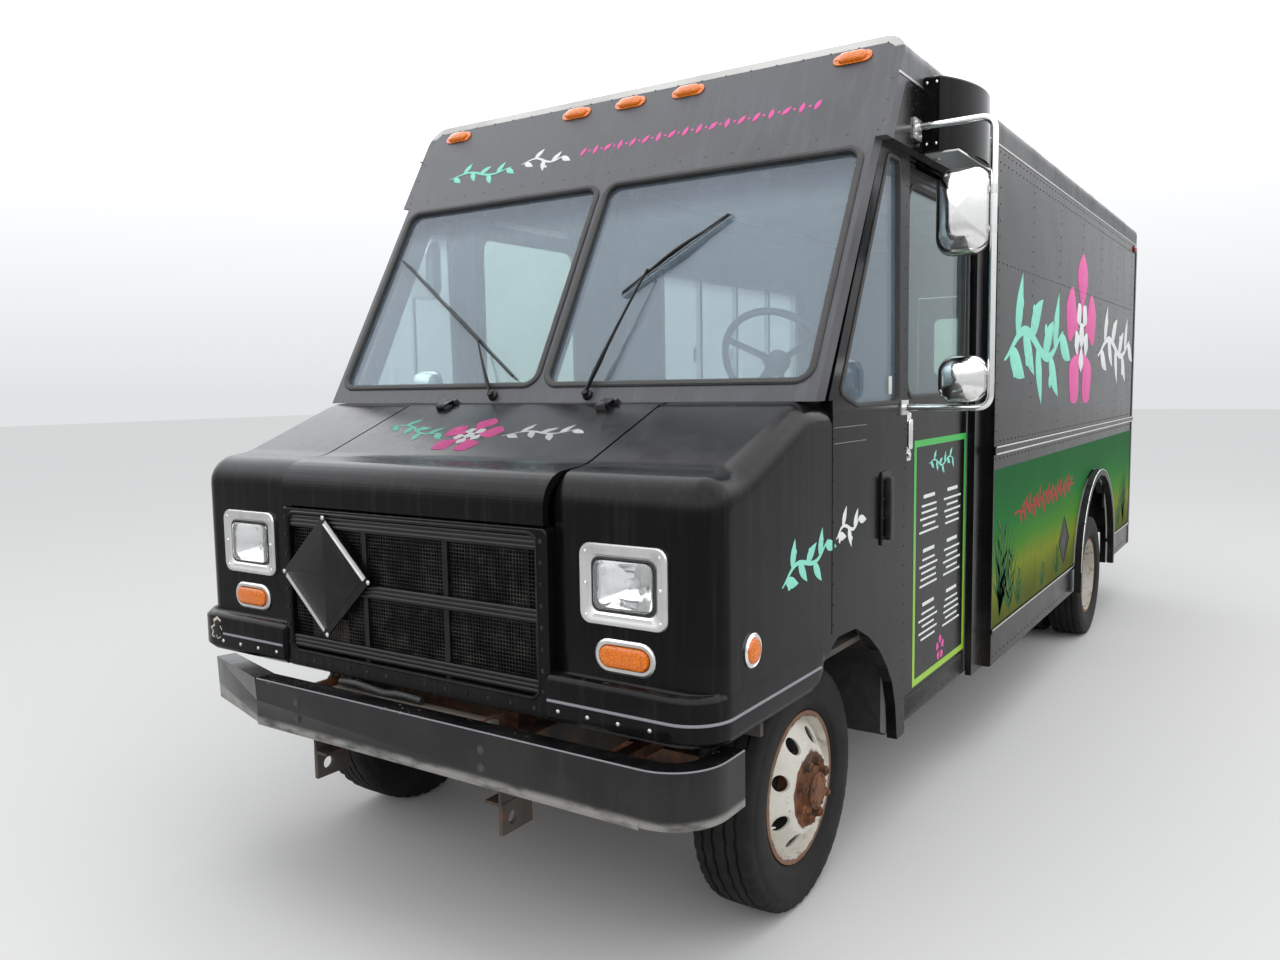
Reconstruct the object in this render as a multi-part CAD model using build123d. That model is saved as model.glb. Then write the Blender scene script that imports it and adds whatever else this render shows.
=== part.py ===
from build123d import *
import os
from math import cos, pi, radians, sin, tan

os.makedirs("parts", exist_ok=True)

# A walk-in food truck in millimetres, resting on the ground at Z = 0, its front towards -Y and its
# driver's side towards +X. Stations are measured back from the headlight panels and turned into Y by at().

# Stations, from front to rear
BUMPER_FRONT = -150
GRILLE_FRONT = -45
BAND_FRONT = -60
HOOD_REAR = 585
FENDER_SEAM = 770
FRONT_AXLE = 816
DOOR_FRONT = 1495
DOOR_REAR = 2450
JAMB_FRONT = 2400
BODY_FRONT = 2590
REAR_ARCH = 5250
REAR_AXLE = 5330
BODY_REAR = 6950
STEP_REAR = 7100
MIDDLE = (BUMPER_FRONT + STEP_REAR) / 2

# Heights
SKIRT = 430
FLOOR = 800
FENDER_FOOT = 832
BAND_TOP = 975
COWL = 1745
DOOR_FOOT = 445
ROOF_SIDE = 2880
ROOF_RISE = 160
ROOF_TOP = ROOF_SIDE + ROOF_RISE
HEADER_DEPTH = 240
OVERHANG = ROOF_SIDE - HEADER_DEPTH
DOOR_HEAD = OVERHANG - 20

# Half widths
BODY_HALF = 1170
CAB_HALF = BODY_HALF - 40
DOOR_FACE = CAB_HALF - 30
BLOCK_HALF = 598

# Thicknesses and clearances
WALL = 40
SKIN = 30
SHEET = 20
GLASS = 8
SEAT_GAP = 0.3
SWING_GAP = 7
PIN_GAP = 0.3
CAB_INNER = CAB_HALF - WALL - SEAT_GAP
BODY_INNER = BODY_HALF - WALL - SEAT_GAP

# Windshield plane: it passes through this foot and leans back by this angle
SHIELD_FOOT = (667, COWL + 56)
SHIELD_LEAN = 28.9
SHIELD_DEPTH = 70

# Running gear
TYRE_R = 419
AXLE_HEIGHT = TYRE_R
TYRE_HALF = 112
RIM_R = 247.5
RIM_LIP_R = 260
RIM_HALF = 92
RIM_WALL = 8
FRONT_TYRE_X = 905
KINGPIN_X = 790
KINGPIN_R = 18
OUTER_TYRE_X = 1045
INNER_TYRE_X = 785
RAIL_X = 430
RAIL_FOOT = 545
RAIL_DEPTH = 180
RAIL_FLANGE = 65
RAIL_SHEET = 10
SPRING_X = 430
SPRING_HALF = 30
SPRING_REACH = 600


def at(station):
    """Y of a station."""
    return station - MIDDLE


def block(x0, x1, s0, s1, z0, z1):
    """A block between two widths, two stations and two heights."""
    return Pos((x0 + x1) / 2, at((s0 + s1) / 2), (z0 + z1) / 2) * Box(x1 - x0, s1 - s0, z1 - z0)


def side_plate(outline, x0, x1):
    """A plate from x0 to x1 whose outline is a list of (station, height)."""
    face = Plane.YZ.offset(x0) * Polygon(*[(at(s), z) for s, z in outline], align=None)
    return extrude(face, x1 - x0, dir=(1, 0, 0))


def rounded_side_plate(outline, radii, x0, x1):
    """A side plate with some corners rounded: radii gives a radius by the corner's place in the outline."""
    face = Sketch() + Polygon(*[(at(s), z) for s, z in outline], align=None)
    for corner, radius in radii.items():
        s, z = outline[corner]
        face = fillet(face.vertices().sort_by_distance((at(s), z, 0))[0], radius)
    return extrude(Plane.YZ.offset(x0) * face, x1 - x0, dir=(1, 0, 0))


def front_plate(outline, s0, s1):
    """A plate from station s0 to s1 whose outline is a list of (x, height)."""
    face = Plane.XZ.offset(-at(s0)) * Polygon(*outline, align=None)
    return extrude(face, s1 - s0, dir=(0, 1, 0))


def plan_plate(outline, z0, z1):
    """A plate from z0 to z1 whose outline is a list of (x, station)."""
    face = Plane.XY.offset(z0) * Polygon(*[(x, at(s)) for x, s in outline], align=None)
    return extrude(face, z1 - z0, dir=(0, 0, 1))


def round_window(plane, width, height, radius, depth):
    """A cutter with rounded corners, centred on a plane and reaching a depth to both sides of it."""
    return extrude(plane * RectangleRounded(width, height, radius), depth, both=True)


def turned(profile, x, station, height):
    """A body turned about an axle that runs along X, from a profile of (offset along X, radius)."""
    return Pos(x, at(station), height) * revolve(Polygon(*profile, align=None), axis=Axis.X)


def rod(start, end, radius):
    """A round rod between two points, given as (x, station, height)."""
    a = Vector(start[0], at(start[1]), start[2])
    b = Vector(end[0], at(end[1]), end[2])
    plane = Plane(origin=a, z_dir=b - a)
    return extrude(plane * Circle(radius), (b - a).length)


def both_sides(shape):
    """A shape of the driver's side and its mirror image."""
    return [shape, mirror(shape, about=Plane.YZ)]


def other_side(shape):
    """The mirror image of a shape of the driver's side."""
    return mirror(shape, about=Plane.YZ)


def save(name, shapes):
    """Write one node from one shape or a list of shapes that don't touch."""
    solids = [s for shape in (shapes if isinstance(shapes, list) else [shapes]) for s in shape.solids()]
    export_step(Compound(children=solids) if len(solids) > 1 else solids[0], f"parts/{name}.step")


def shield_s(height):
    """Station of the windshield plane at a height."""
    return SHIELD_FOOT[0] + (height - SHIELD_FOOT[1]) * tan(radians(SHIELD_LEAN))


def shield_plane(x, height, depth=0):
    """A plane on the windshield, facing out, at a width, a height and a depth behind the surface."""
    lean = radians(SHIELD_LEAN)
    outward = Vector(0, -cos(lean), sin(lean))
    origin = Vector(x, at(shield_s(height)), height) - outward * depth
    return Plane(origin=origin, x_dir=(1, 0, 0), z_dir=outward)


# Chassis

BUMPER_SHEET = 12
BUMPER_FLANGE = 70
BUMPER_Z = (640, 800)
RAIL_FRONT = BUMPER_FRONT + BUMPER_FLANGE + SEAT_GAP
RAIL_REAR = BODY_REAR + 10
RAIL_TOP = RAIL_FOOT + RAIL_DEPTH
CROSS_FOOT = RAIL_FOOT + RAIL_SHEET + SEAT_GAP
CROSS_TOP = RAIL_TOP - RAIL_SHEET - SEAT_GAP
ENGINE_FOOT = RAIL_FOOT + 55
# columns: station, foot, top
CROSSMEMBERS = [(60, CROSS_FOOT + 25, CROSS_TOP - 15), (500, CROSS_FOOT, ENGINE_FOOT),
                (1450, CROSS_FOOT, ENGINE_FOOT), (2600, CROSS_TOP - 46, CROSS_TOP),
                (3700, CROSS_TOP - 75, CROSS_TOP), (4700, CROSS_TOP - 75, CROSS_TOP),
                (6000, CROSS_FOOT + 25, CROSS_TOP), (6850, CROSS_FOOT + 25, CROSS_TOP)]
CROSS_HALF_LENGTH = 40
TOW_EYE_R = 22
TOW_EYE_THICK = 16
TOW_EYE = (RAIL_X - RAIL_SHEET / 2, RAIL_FRONT + 50, 500)
HITCH_SPACING = (85.7, 44.45)
HITCH_HOLE_R = 7


def frame_rails():
    """Two channel rails open inwards, with an eye plate under each front end."""
    flange_end = RAIL_X - RAIL_FLANGE
    channel = [(RAIL_X, RAIL_FOOT), (RAIL_X, RAIL_TOP), (flange_end, RAIL_TOP),
               (flange_end, RAIL_TOP - RAIL_SHEET), (RAIL_X - RAIL_SHEET, RAIL_TOP - RAIL_SHEET),
               (RAIL_X - RAIL_SHEET, RAIL_FOOT + RAIL_SHEET), (flange_end, RAIL_FOOT + RAIL_SHEET),
               (flange_end, RAIL_FOOT)]
    x, s, z = TOW_EYE
    rail = front_plate(channel, RAIL_FRONT, RAIL_REAR)
    rail += block(x - TOW_EYE_THICK / 2, x + TOW_EYE_THICK / 2, s - 48, s + 90, z - 45, RAIL_FOOT + 8)
    rail += block(flange_end, RAIL_X, BUMPER_FRONT + BUMPER_SHEET + SEAT_GAP, RAIL_FRONT + 20,
                  BUMPER_Z[0] + BUMPER_SHEET + 4, RAIL_TOP)
    rail -= Pos(x, at(s), z) * Rot(0, 90, 0) * Cylinder(TOW_EYE_R, 4 * TOW_EYE_THICK)
    return both_sides(rail)


def crossmembers():
    """The beams between the rails' webs."""
    half = RAIL_X - RAIL_SHEET - SEAT_GAP
    return [block(-half, half, station - CROSS_HALF_LENGTH, station + CROSS_HALF_LENGTH, foot, top)
            for station, foot, top in CROSSMEMBERS]


ENGINE_HALF = 290
ENGINE_FRONT = 170
ENGINE_REAR = 960
ENGINE_TOP = 1180
GEARBOX_HALF = 150
GEARBOX_REAR = 1640
GEARBOX_TOP = 750


def engine_block():
    """One plain block for the engine, stepped down to its gearbox."""
    profile = [(ENGINE_FRONT, ENGINE_FOOT + SEAT_GAP), (ENGINE_FRONT, ENGINE_TOP),
               (ENGINE_REAR, ENGINE_TOP), (ENGINE_REAR, ENGINE_FOOT + SEAT_GAP)]
    gearbox = block(-GEARBOX_HALF, GEARBOX_HALF, ENGINE_REAR, GEARBOX_REAR,
                    ENGINE_FOOT + SEAT_GAP, GEARBOX_TOP)
    return chamfer(side_plate(profile, -ENGINE_HALF, ENGINE_HALF).edges().filter_by(Axis.Y), 60) + gearbox


BEAM_TOP = 462
BEAM_DEPTH = 84
BEAM_HALF_WIDTH = 38
EYE_R = 44
EYE_HALF = 48


def front_axle():
    """A forged I-beam with an upright eye for the kingpin at each end."""
    web, flange = 12, 16
    foot = BEAM_TOP - BEAM_DEPTH
    section = [(-BEAM_HALF_WIDTH, foot), (BEAM_HALF_WIDTH, foot), (BEAM_HALF_WIDTH, foot + flange),
               (web, foot + flange), (web, BEAM_TOP - flange), (BEAM_HALF_WIDTH, BEAM_TOP - flange),
               (BEAM_HALF_WIDTH, BEAM_TOP), (-BEAM_HALF_WIDTH, BEAM_TOP),
               (-BEAM_HALF_WIDTH, BEAM_TOP - flange), (-web, BEAM_TOP - flange), (-web, foot + flange),
               (-BEAM_HALF_WIDTH, foot + flange)]
    beam = side_plate([(FRONT_AXLE + s, z) for s, z in section], -KINGPIN_X, KINGPIN_X)
    for side in (-1, 1):
        place = Pos(side * KINGPIN_X, at(FRONT_AXLE), AXLE_HEIGHT)
        beam += place * Cylinder(EYE_R, 2 * EYE_HALF)
        beam -= place * Cylinder(KINGPIN_R + PIN_GAP, 4 * EYE_HALF)
    return beam


AXLE_TUBE_R = 62
DIFF_R = 165


def rear_axle():
    """A tube between the twin wheels with a round differential case and its pinion nose."""
    tube = Pos(0, at(REAR_AXLE), AXLE_HEIGHT) * Rot(0, 90, 0) * Cylinder(AXLE_TUBE_R, 2 * (REAR_DRUM[0] - 12))
    case = turned([(-95, 0), (-95, 110), (-55, DIFF_R), (55, DIFF_R), (95, 110), (95, 0)],
                  0, REAR_AXLE, AXLE_HEIGHT)
    nose = rod((0, REAR_AXLE - PINION_REACH, AXLE_HEIGHT), (0, REAR_AXLE - 100, AXLE_HEIGHT), 60)
    spindles = both_sides(rod((REAR_DRUM[0] - 20, REAR_AXLE, AXLE_HEIGHT),
                              (REAR_DRUM[0] + 150, REAR_AXLE, AXLE_HEIGHT), SPINDLE_R))
    pads = both_sides(spring_pad(REAR_AXLE, AXLE_HEIGHT, REAR_PAD_TOP - SEAT_GAP))
    return tube + case + nose + spindles[0] + spindles[1] + pads[0] + pads[1]


def leaf_spring(station, seat, rise):
    """A leaf pack on an axle seat, curving up to a hanger under the rail at each end."""
    pack = 42
    end = RAIL_FOOT - SEAT_GAP - rise
    under = ThreePointArc((station - SPRING_REACH, end - 16), (station, seat), (station + SPRING_REACH, end - 16))
    over = ThreePointArc((station + SPRING_REACH, end), (station, seat + pack), (station - SPRING_REACH, end))
    outline = under + Line(under @ 1, over @ 0) + over + Line(over @ 1, under @ 0)
    face = Plane.YZ.offset(SPRING_X - SPRING_HALF) * Pos(-MIDDLE, 0) * make_face(outline)
    spring = extrude(face, 2 * SPRING_HALF, dir=(1, 0, 0))
    for end_station in (station - SPRING_REACH, station + SPRING_REACH):
        spring += block(SPRING_X - SPRING_HALF, SPRING_X + SPRING_HALF, end_station - 25, end_station + 25,
                        end - 16, RAIL_FOOT - SEAT_GAP)
    return spring


def spring_pad(station, foot, top):
    """The saddle between an axle and its spring."""
    return block(SPRING_X - SPRING_HALF, SPRING_X + SPRING_HALF, station - 55, station + 55, foot, top)


REAR_PAD_TOP = AXLE_HEIGHT + AXLE_TUBE_R + 12
PINION_REACH = 250
SHAFT_R = 45
SHAFT_START = 660


def drive_shaft():
    """A tube from the gearbox to the differential with a yoke at each end."""
    start = (0, GEARBOX_REAR + SEAT_GAP, SHAFT_START)
    end = (0, REAR_AXLE - PINION_REACH - SEAT_GAP, AXLE_HEIGHT)
    shaft = rod((0, start[1] + 40, start[2]), (0, end[1] - 40, end[2]), SHAFT_R)
    for x, s, z in (start, end):
        reach = 70 if s == start[1] else -70
        shaft += rod((x, s, z), (x, s + reach, z), SHAFT_R + 8)
    return shaft


TANK = (470, 900, 3000, 3900, 440, 700)
MUFFLER_X = -620
MUFFLER_Z = 560
PIPE_R = 32


def fuel_tank():
    """A rounded tank beside the rail with the two straps that hang it from the rail."""
    x0, x1, s0, s1, z0, z1 = TANK
    tank = fillet(block(*TANK).edges().filter_by(Axis.Y), 50)
    for s in (s0 + 180, s1 - 180):
        tank += block(x0 - 8, x1 + 8, s - 25, s + 25, z0 - 8, z1 + 8) - fillet(
            block(x0, x1, s - 60, s + 60, z0, z1).edges().filter_by(Axis.Y), 50)
        tank += block(RAIL_X + SEAT_GAP, x0, s - 25, s + 25, z1 - 40, z1 - 20)
    return tank


def exhaust_pipe():
    """The pipe from the engine, its muffler and a tail that turns out ahead of the rear wheels."""
    tail = REAR_ARCH - 900
    route = [(-330, 900, 500), (-330, 1530, 500), (MUFFLER_X, 2300, MUFFLER_Z - 50), (MUFFLER_X, 2650, MUFFLER_Z),
             (MUFFLER_X, 3500, MUFFLER_Z),
             (MUFFLER_X, tail, 470), (-1090, tail + 120, 385)]
    pipe = rod(route[0], route[1], PIPE_R)
    for a, b in zip(route[1:], route[2:]):
        joint = Pos(a[0], at(a[1]), a[2]) * Sphere(PIPE_R)
        pipe += joint + rod(a, b, PIPE_R)
    muffler = rod((MUFFLER_X, 2650, MUFFLER_Z), (MUFFLER_X, 3350, MUFFLER_Z), 115)
    riser = rod((-330, 900, 500), (-330, 900, ENGINE_FOOT + 60), PIPE_R)
    port = rod((-330, 900, ENGINE_FOOT + 60), (-ENGINE_HALF - SEAT_GAP, 900, ENGINE_FOOT + 60), PIPE_R)
    hanger = block(MUFFLER_X - 20, -RAIL_X - SEAT_GAP, 2980, 3020, 675, 700)
    hanger += block(MUFFLER_X - 20, MUFFLER_X + 20, 2980, 3020, 650, 700)
    corners = Pos(-330, at(900), 500) * Sphere(PIPE_R) + Pos(-330, at(900), ENGINE_FOOT + 60) * Sphere(PIPE_R)
    return pipe + muffler + riser + port + hanger + corners


# Wheels

SPINDLE_R = 28
REAR_DRUM = (700, 860, 165)
FRONT_DRUM = (862, 935, 155)
MOUNT_X = (OUTER_TYRE_X + INNER_TYRE_X) / 2
HAND_HOLES = 8
HAND_HOLE_R = 27
HAND_HOLE_PITCH_R = 178
DISC_KNEE_R = HAND_HOLE_PITCH_R + HAND_HOLE_R + 9
DISC_FLAT_R = HAND_HOLE_PITCH_R - HAND_HOLE_R - 12


TYRE_SIDES = 36


def tyre(x, station):
    """A round-shouldered tyre on its rim, in flat facets, one of them on the ground."""
    half = RIM_HALF - RIM_WALL - SEAT_GAP
    right = [(half, RIM_R + SEAT_GAP), (half, RIM_LIP_R + 4), (TYRE_HALF - 5, 305), (TYRE_HALF, 345),
             (TYRE_HALF - 10, 400), (TYRE_HALF - 34, TYRE_R)]
    profile = right + [(-x_, r) for x_, r in reversed(right)]
    step = 2 * pi / TYRE_SIDES
    rings = [[Vector(x + a, at(station) + r / cos(step / 2) * cos(step * (i + 0.5)),
                     AXLE_HEIGHT + r / cos(step / 2) * sin(step * (i + 0.5))) for a, r in profile]
             for i in range(TYRE_SIDES)]
    facets = []
    for i, ring in enumerate(rings):
        after = rings[(i + 1) % TYRE_SIDES]
        for j in range(len(profile)):
            k = (j + 1) % len(profile)
            facets.append(Face(Wire.make_polygon([ring[j], ring[k], after[k], after[j]], close=True)))
    return Solid(Shell(facets))


def rim(x, station):
    """The barrel of a rim with its two lips."""
    return turned([(-RIM_HALF, RIM_LIP_R), (-RIM_HALF + RIM_WALL, RIM_LIP_R), (-RIM_HALF + RIM_WALL, RIM_R),
                   (RIM_HALF - RIM_WALL, RIM_R), (RIM_HALF - RIM_WALL, RIM_LIP_R), (RIM_HALF, RIM_LIP_R),
                   (RIM_HALF, RIM_R - RIM_WALL), (-RIM_HALF, RIM_R - RIM_WALL)], x, station, AXLE_HEIGHT)


def disc(x, station, face, way):
    """A dished disc from the rim to a flat hub ring at offset face, thickened towards way."""
    root = 40 * way if face * way > 0 else -70 * way
    step = 9 * way
    points = [(root, RIM_R - RIM_WALL + 2), (root + (face - root) * 0.25, DISC_KNEE_R), (face, DISC_FLAT_R),
              (face, 55)]
    disc_body = turned(points + [(a + step, r) for a, r in reversed(points)], x, station, AXLE_HEIGHT)
    for i in range(HAND_HOLES):
        turn = Rot(360 / HAND_HOLES * (i + 0.5), 0, 0)
        hole = turn * Pos(0, 0, HAND_HOLE_PITCH_R) * Rot(0, 90, 0) * Cylinder(HAND_HOLE_R, 400)
        disc_body -= Pos(x, at(station), AXLE_HEIGHT) * hole
    return disc_body


def hub(x0, x1, radius, drum, station):
    """A hub with its cap and a brake drum, bored for the spindle."""
    drum_in, drum_out, drum_r = drum
    body = turned([(drum_in, drum_r - 12), (drum_in, drum_r), (drum_out, drum_r), (drum_out + 12, radius + 55),
                   (x0, radius + 55), (x0, radius), (x1 - 14, radius), (x1, radius - 18), (x1, 0),
                   (drum_out - 12, 0), (drum_out - 12, drum_r - 12)], 0, station, AXLE_HEIGHT)
    bore = rod((drum_in - 10, station, AXLE_HEIGHT), (x1 - 30, station, AXLE_HEIGHT), SPINDLE_R + PIN_GAP)
    return body - bore


FRONT_FACE = 118
FRONT_HUB_END = 1070
REAR_HUB_END = 1075


def front_wheel():
    """The steered wheel, its disc dished outwards past the rim."""
    mount = FRONT_TYRE_X + FRONT_FACE
    return (rim(FRONT_TYRE_X, FRONT_AXLE) + disc(FRONT_TYRE_X, FRONT_AXLE, FRONT_FACE, 1)
            + hub(mount, FRONT_HUB_END, 58, FRONT_DRUM, FRONT_AXLE))


def rear_wheel():
    """The twin rims back to back on one hub, each dished towards the other."""
    outer = rim(OUTER_TYRE_X, REAR_AXLE) + disc(OUTER_TYRE_X, REAR_AXLE, MOUNT_X - OUTER_TYRE_X, 1)
    inner = rim(INNER_TYRE_X, REAR_AXLE) + disc(INNER_TYRE_X, REAR_AXLE, MOUNT_X - INNER_TYRE_X, -1)
    return outer + inner + hub(MOUNT_X + 9, REAR_HUB_END, 62, REAR_DRUM, REAR_AXLE)


def knuckle():
    """The steering knuckle: a yoke over the beam's eye, its kingpin, a spindle and a steering arm."""
    ear, top = 24, EYE_HALF + 2
    z = AXLE_HEIGHT
    body = Pos(KINGPIN_X, at(FRONT_AXLE), z) * Cylinder(KINGPIN_R, 2 * (top + ear))
    for foot in (z + top, z - top - ear):
        body += Pos(KINGPIN_X, at(FRONT_AXLE), foot + ear / 2) * Cylinder(EYE_R, ear)
        body += block(KINGPIN_X, KINGPIN_X + EYE_R + 20, FRONT_AXLE - 40, FRONT_AXLE + 40, foot, foot + ear)
    web = KINGPIN_X + EYE_R + 4
    body += block(web, web + 16, FRONT_AXLE - 40, FRONT_AXLE + 40, z - top - ear, z + top + ear)
    body += rod((web + 10, FRONT_AXLE, z), (FRONT_HUB_END - 36, FRONT_AXLE, z), SPINDLE_R)
    arm_foot = z - top - ear
    body += plan_plate([(KINGPIN_X - 25, FRONT_AXLE), (KINGPIN_X + 25, FRONT_AXLE),
                        (KINGPIN_X - 40, FRONT_AXLE + 190), (KINGPIN_X - 80, FRONT_AXLE + 180)],
                       arm_foot, arm_foot + 20)
    return body


# Body shell

DOOR_SHEET = 30
DOOR_SLIDE = 800
POCKET_REAR = DOOR_REAR + DOOR_SLIDE + 10
# columns: inner x, outer x, front, rear, top
FRONT_BOX = (540, CAB_INNER, 330, 1440, FLOOR + 100)
REAR_BOX = (640, BODY_INNER, REAR_ARCH - 640, REAR_ARCH + 700, FLOOR + 360)
# columns: inner x, outer x, front, rear, foot
STEP_WELL = (790, DOOR_FACE - DOOR_SHEET - SWING_GAP, DOOR_FRONT, JAMB_FRONT, 450)
FLOOR_SHEET = 40
FIREWALL = 640
FLOOR_FRONT = FIREWALL + SHEET + SEAT_GAP
FIREWALL_TOP = COWL - 10
DOG_HALF = 400
DOG_REAR = 1560
DOG_TOP = COWL - 415


def mirrored_cut(x0, x1, s0, s1, z0, z1):
    """Two cutters, one on each side."""
    return block(x0, x1, s0, s1, z0, z1) + block(-x1, -x0, s0, s1, z0, z1)


def floor_pan():
    """The flat floor, cut out for the wheel boxes, the step wells, the sliding doors and the engine."""
    low, high = FLOOR - FLOOR_SHEET - 10, FLOOR + 10
    pan = block(-BODY_INNER, BODY_INNER, BODY_FRONT, BODY_REAR - WALL - SEAT_GAP, FLOOR - FLOOR_SHEET, FLOOR)
    pan += block(-CAB_INNER, CAB_INNER, FLOOR_FRONT, BODY_FRONT, FLOOR - FLOOR_SHEET, FLOOR)
    pan -= mirrored_cut(STEP_WELL[1], BODY_HALF, DOOR_FRONT - SWING_GAP, POCKET_REAR, low, high)
    pan -= block(-GEARBOX_HALF - 60, GEARBOX_HALF + 60, FLOOR_FRONT - 10, DOG_REAR - 30, low, high)
    pan -= block(-ENGINE_HALF - 40, ENGINE_HALF + 40, FLOOR_FRONT - 10, ENGINE_REAR + 60, low, high)
    for x0, x1, s0, s1, _ in (FRONT_BOX, REAR_BOX, STEP_WELL):
        pan -= mirrored_cut(x0 - SEAT_GAP, x1 + SEAT_GAP, s0 - SEAT_GAP, s1 + SEAT_GAP, low, high)
    return pan


def wheel_boxes():
    """The raised box over each wheel, open below and outwards."""
    boxes = []
    for x0, x1, s0, s1, top in (FRONT_BOX, REAR_BOX):
        box = block(x0, x1, s0, s1, FLOOR - FLOOR_SHEET, top)
        box -= block(x0 + SHEET, x1 + 10, s0 + SHEET, s1 - SHEET, FLOOR - FLOOR_SHEET - 10, top - SHEET)
        boxes += both_sides(box)
    return boxes


def step_wells():
    """The sunk step inside each cab door, open above and outwards."""
    x0, x1, s0, s1, foot = STEP_WELL
    well = block(x0, x1, s0, s1, foot, FLOOR)
    return both_sides(well - block(x0 + SHEET, x1 + 10, s0 + SHEET, s1 - SHEET, foot + SHEET, FLOOR + 10))


def firewall():
    """The sheet between the nose and the cab, cut out for the engine cover and the wheel boxes."""
    before, behind = FIREWALL - 10, FIREWALL + SHEET + 10
    wall = block(-CAB_INNER, CAB_INNER, FIREWALL, FIREWALL + SHEET, FLOOR - FLOOR_SHEET, FIREWALL_TOP)
    wall -= block(-DOG_HALF, DOG_HALF, before, behind, FLOOR - 100, DOG_TOP)
    wall -= mirrored_cut(FRONT_BOX[0] - SEAT_GAP, FRONT_BOX[1] + 10, before, behind, FLOOR - 100,
                         FRONT_BOX[4] + SEAT_GAP)
    wall -= mirrored_cut(BLOCK_HALF, BODY_HALF, before, behind, COWL - 50, COWL)
    return wall - mirrored_cut(CAB_INNER - NOSE_RADIUS, BODY_HALF, before, behind, COWL - NOSE_RADIUS - 35, COWL)


BELT_RAIL = (1450, 1490, 12)
FOOT_RAIL = (588, 612, 10)
ARCH_HALF = 600
ARCH_TOP = 1137
ARCH_STRAIGHT = 560


def arch_outline(half, top, centre):
    """A wheel arch as (station, height): straight legs under half an ellipse drawn as chords."""
    steps = 12
    curve = [(centre - half * cos(radians(180 * i / steps)),
              ARCH_STRAIGHT + (top - ARCH_STRAIGHT) * sin(radians(180 * i / steps))) for i in range(steps + 1)]
    return [(centre - half, SKIRT - 60)] + curve + [(centre + half, SKIRT - 60)]


SERVING = (3310, 5410, 1500, ROOF_SIDE - 320)
SERVING_FRAME = 45


TRACK_X = DOOR_FACE - DOOR_SHEET / 2
TRACK_HALF = 30
TRACK_SHEET = 6
TRACK_LIP = 16
TRACK_TOP = OVERHANG + 36
TRACK_FRONT = DOOR_FRONT + 20
TRACK_REAR = POCKET_REAR - 40


def door_track():
    """The channel over a cab door, open below between two lips, with its flange to the wall."""
    foot, top = OVERHANG + 2, TRACK_TOP
    x0, x1 = TRACK_X - TRACK_HALF, TRACK_X + TRACK_HALF
    outline = [(x0, foot), (x0 + TRACK_LIP, foot), (x0 + TRACK_LIP, foot + TRACK_SHEET),
               (x0 + TRACK_SHEET, foot + TRACK_SHEET), (x0 + TRACK_SHEET, top - TRACK_SHEET),
               (x1 - TRACK_SHEET, top - TRACK_SHEET), (x1 - TRACK_SHEET, foot + TRACK_SHEET),
               (x1 - TRACK_LIP, foot + TRACK_SHEET), (x1 - TRACK_LIP, foot), (x1, foot),
               (x1, top - TRACK_SHEET), (BODY_HALF - WALL + 5, top - TRACK_SHEET), (BODY_HALF - WALL + 5, top),
               (x0, top)]
    return front_plate(outline, TRACK_FRONT, TRACK_REAR)


def side_wall(serving):
    """A body side with its rails and rear arch, the panel above the cab door and the door's rear jamb."""
    outer, inner = BODY_HALF, BODY_HALF - WALL
    header_front = shield_s(OVERHANG) + SHIELD_DEPTH + SEAT_GAP
    header_top = shield_s(ROOF_SIDE) + SHIELD_DEPTH + SEAT_GAP
    wall = side_plate([(BODY_FRONT, SKIRT), (BODY_REAR, SKIRT), (BODY_REAR, ROOF_SIDE - SEAT_GAP),
                       (header_top, ROOF_SIDE - SEAT_GAP), (header_front, OVERHANG),
                       (BODY_FRONT, OVERHANG)], inner, outer)
    for z0, z1, proud in (BELT_RAIL, FOOT_RAIL):
        wall += block(outer - 5, outer + proud, BODY_FRONT, BODY_REAR, z0, z1)
    wall -= side_plate(arch_outline(ARCH_HALF, ARCH_TOP, REAR_ARCH), inner - 20, outer + 40)
    wall += block(DOOR_FACE + SWING_GAP, inner + 5, JAMB_FRONT, BODY_FRONT + 60, SKIRT, OVERHANG + 60)
    wall += door_track()
    if serving:
        s0, s1, z0, z1 = SERVING
        wall -= block(inner - 20, outer + 40, s0, s1, z0, z1)
    return wall


FLARE_REACH = 45
FLARE_PROUD = 52


def arch_flare():
    """The black lip round the rear arch, standing out from the wall."""
    lip = side_plate(arch_outline(ARCH_HALF + FLARE_REACH, ARCH_TOP + FLARE_REACH, REAR_ARCH),
                     BODY_HALF + FOOT_RAIL[2] + SEAT_GAP, BODY_HALF + FLARE_PROUD)
    lip -= side_plate(arch_outline(ARCH_HALF + 4, ARCH_TOP + 4, REAR_ARCH), BODY_HALF - 30, BODY_HALF + 80)
    foot = block(BODY_HALF - 100, BODY_HALF + 100, REAR_ARCH - 900, REAR_ARCH + 900, 0, SKIRT)
    return lip - foot


QUARTER_WINDOW = [(835, COWL + 27), (980, COWL - 17), (1390, COWL - 17), (1372, OVERHANG - 40),
                  (1262, OVERHANG - 40)]
FRONT_ARCH = [(673, 885), (731, 917), (820, 960), (979, 956), (1110, 895), (1215, 821), (1290, 745),
              (1346, 670), (1385, 565), (1405, SKIRT)]


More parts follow.
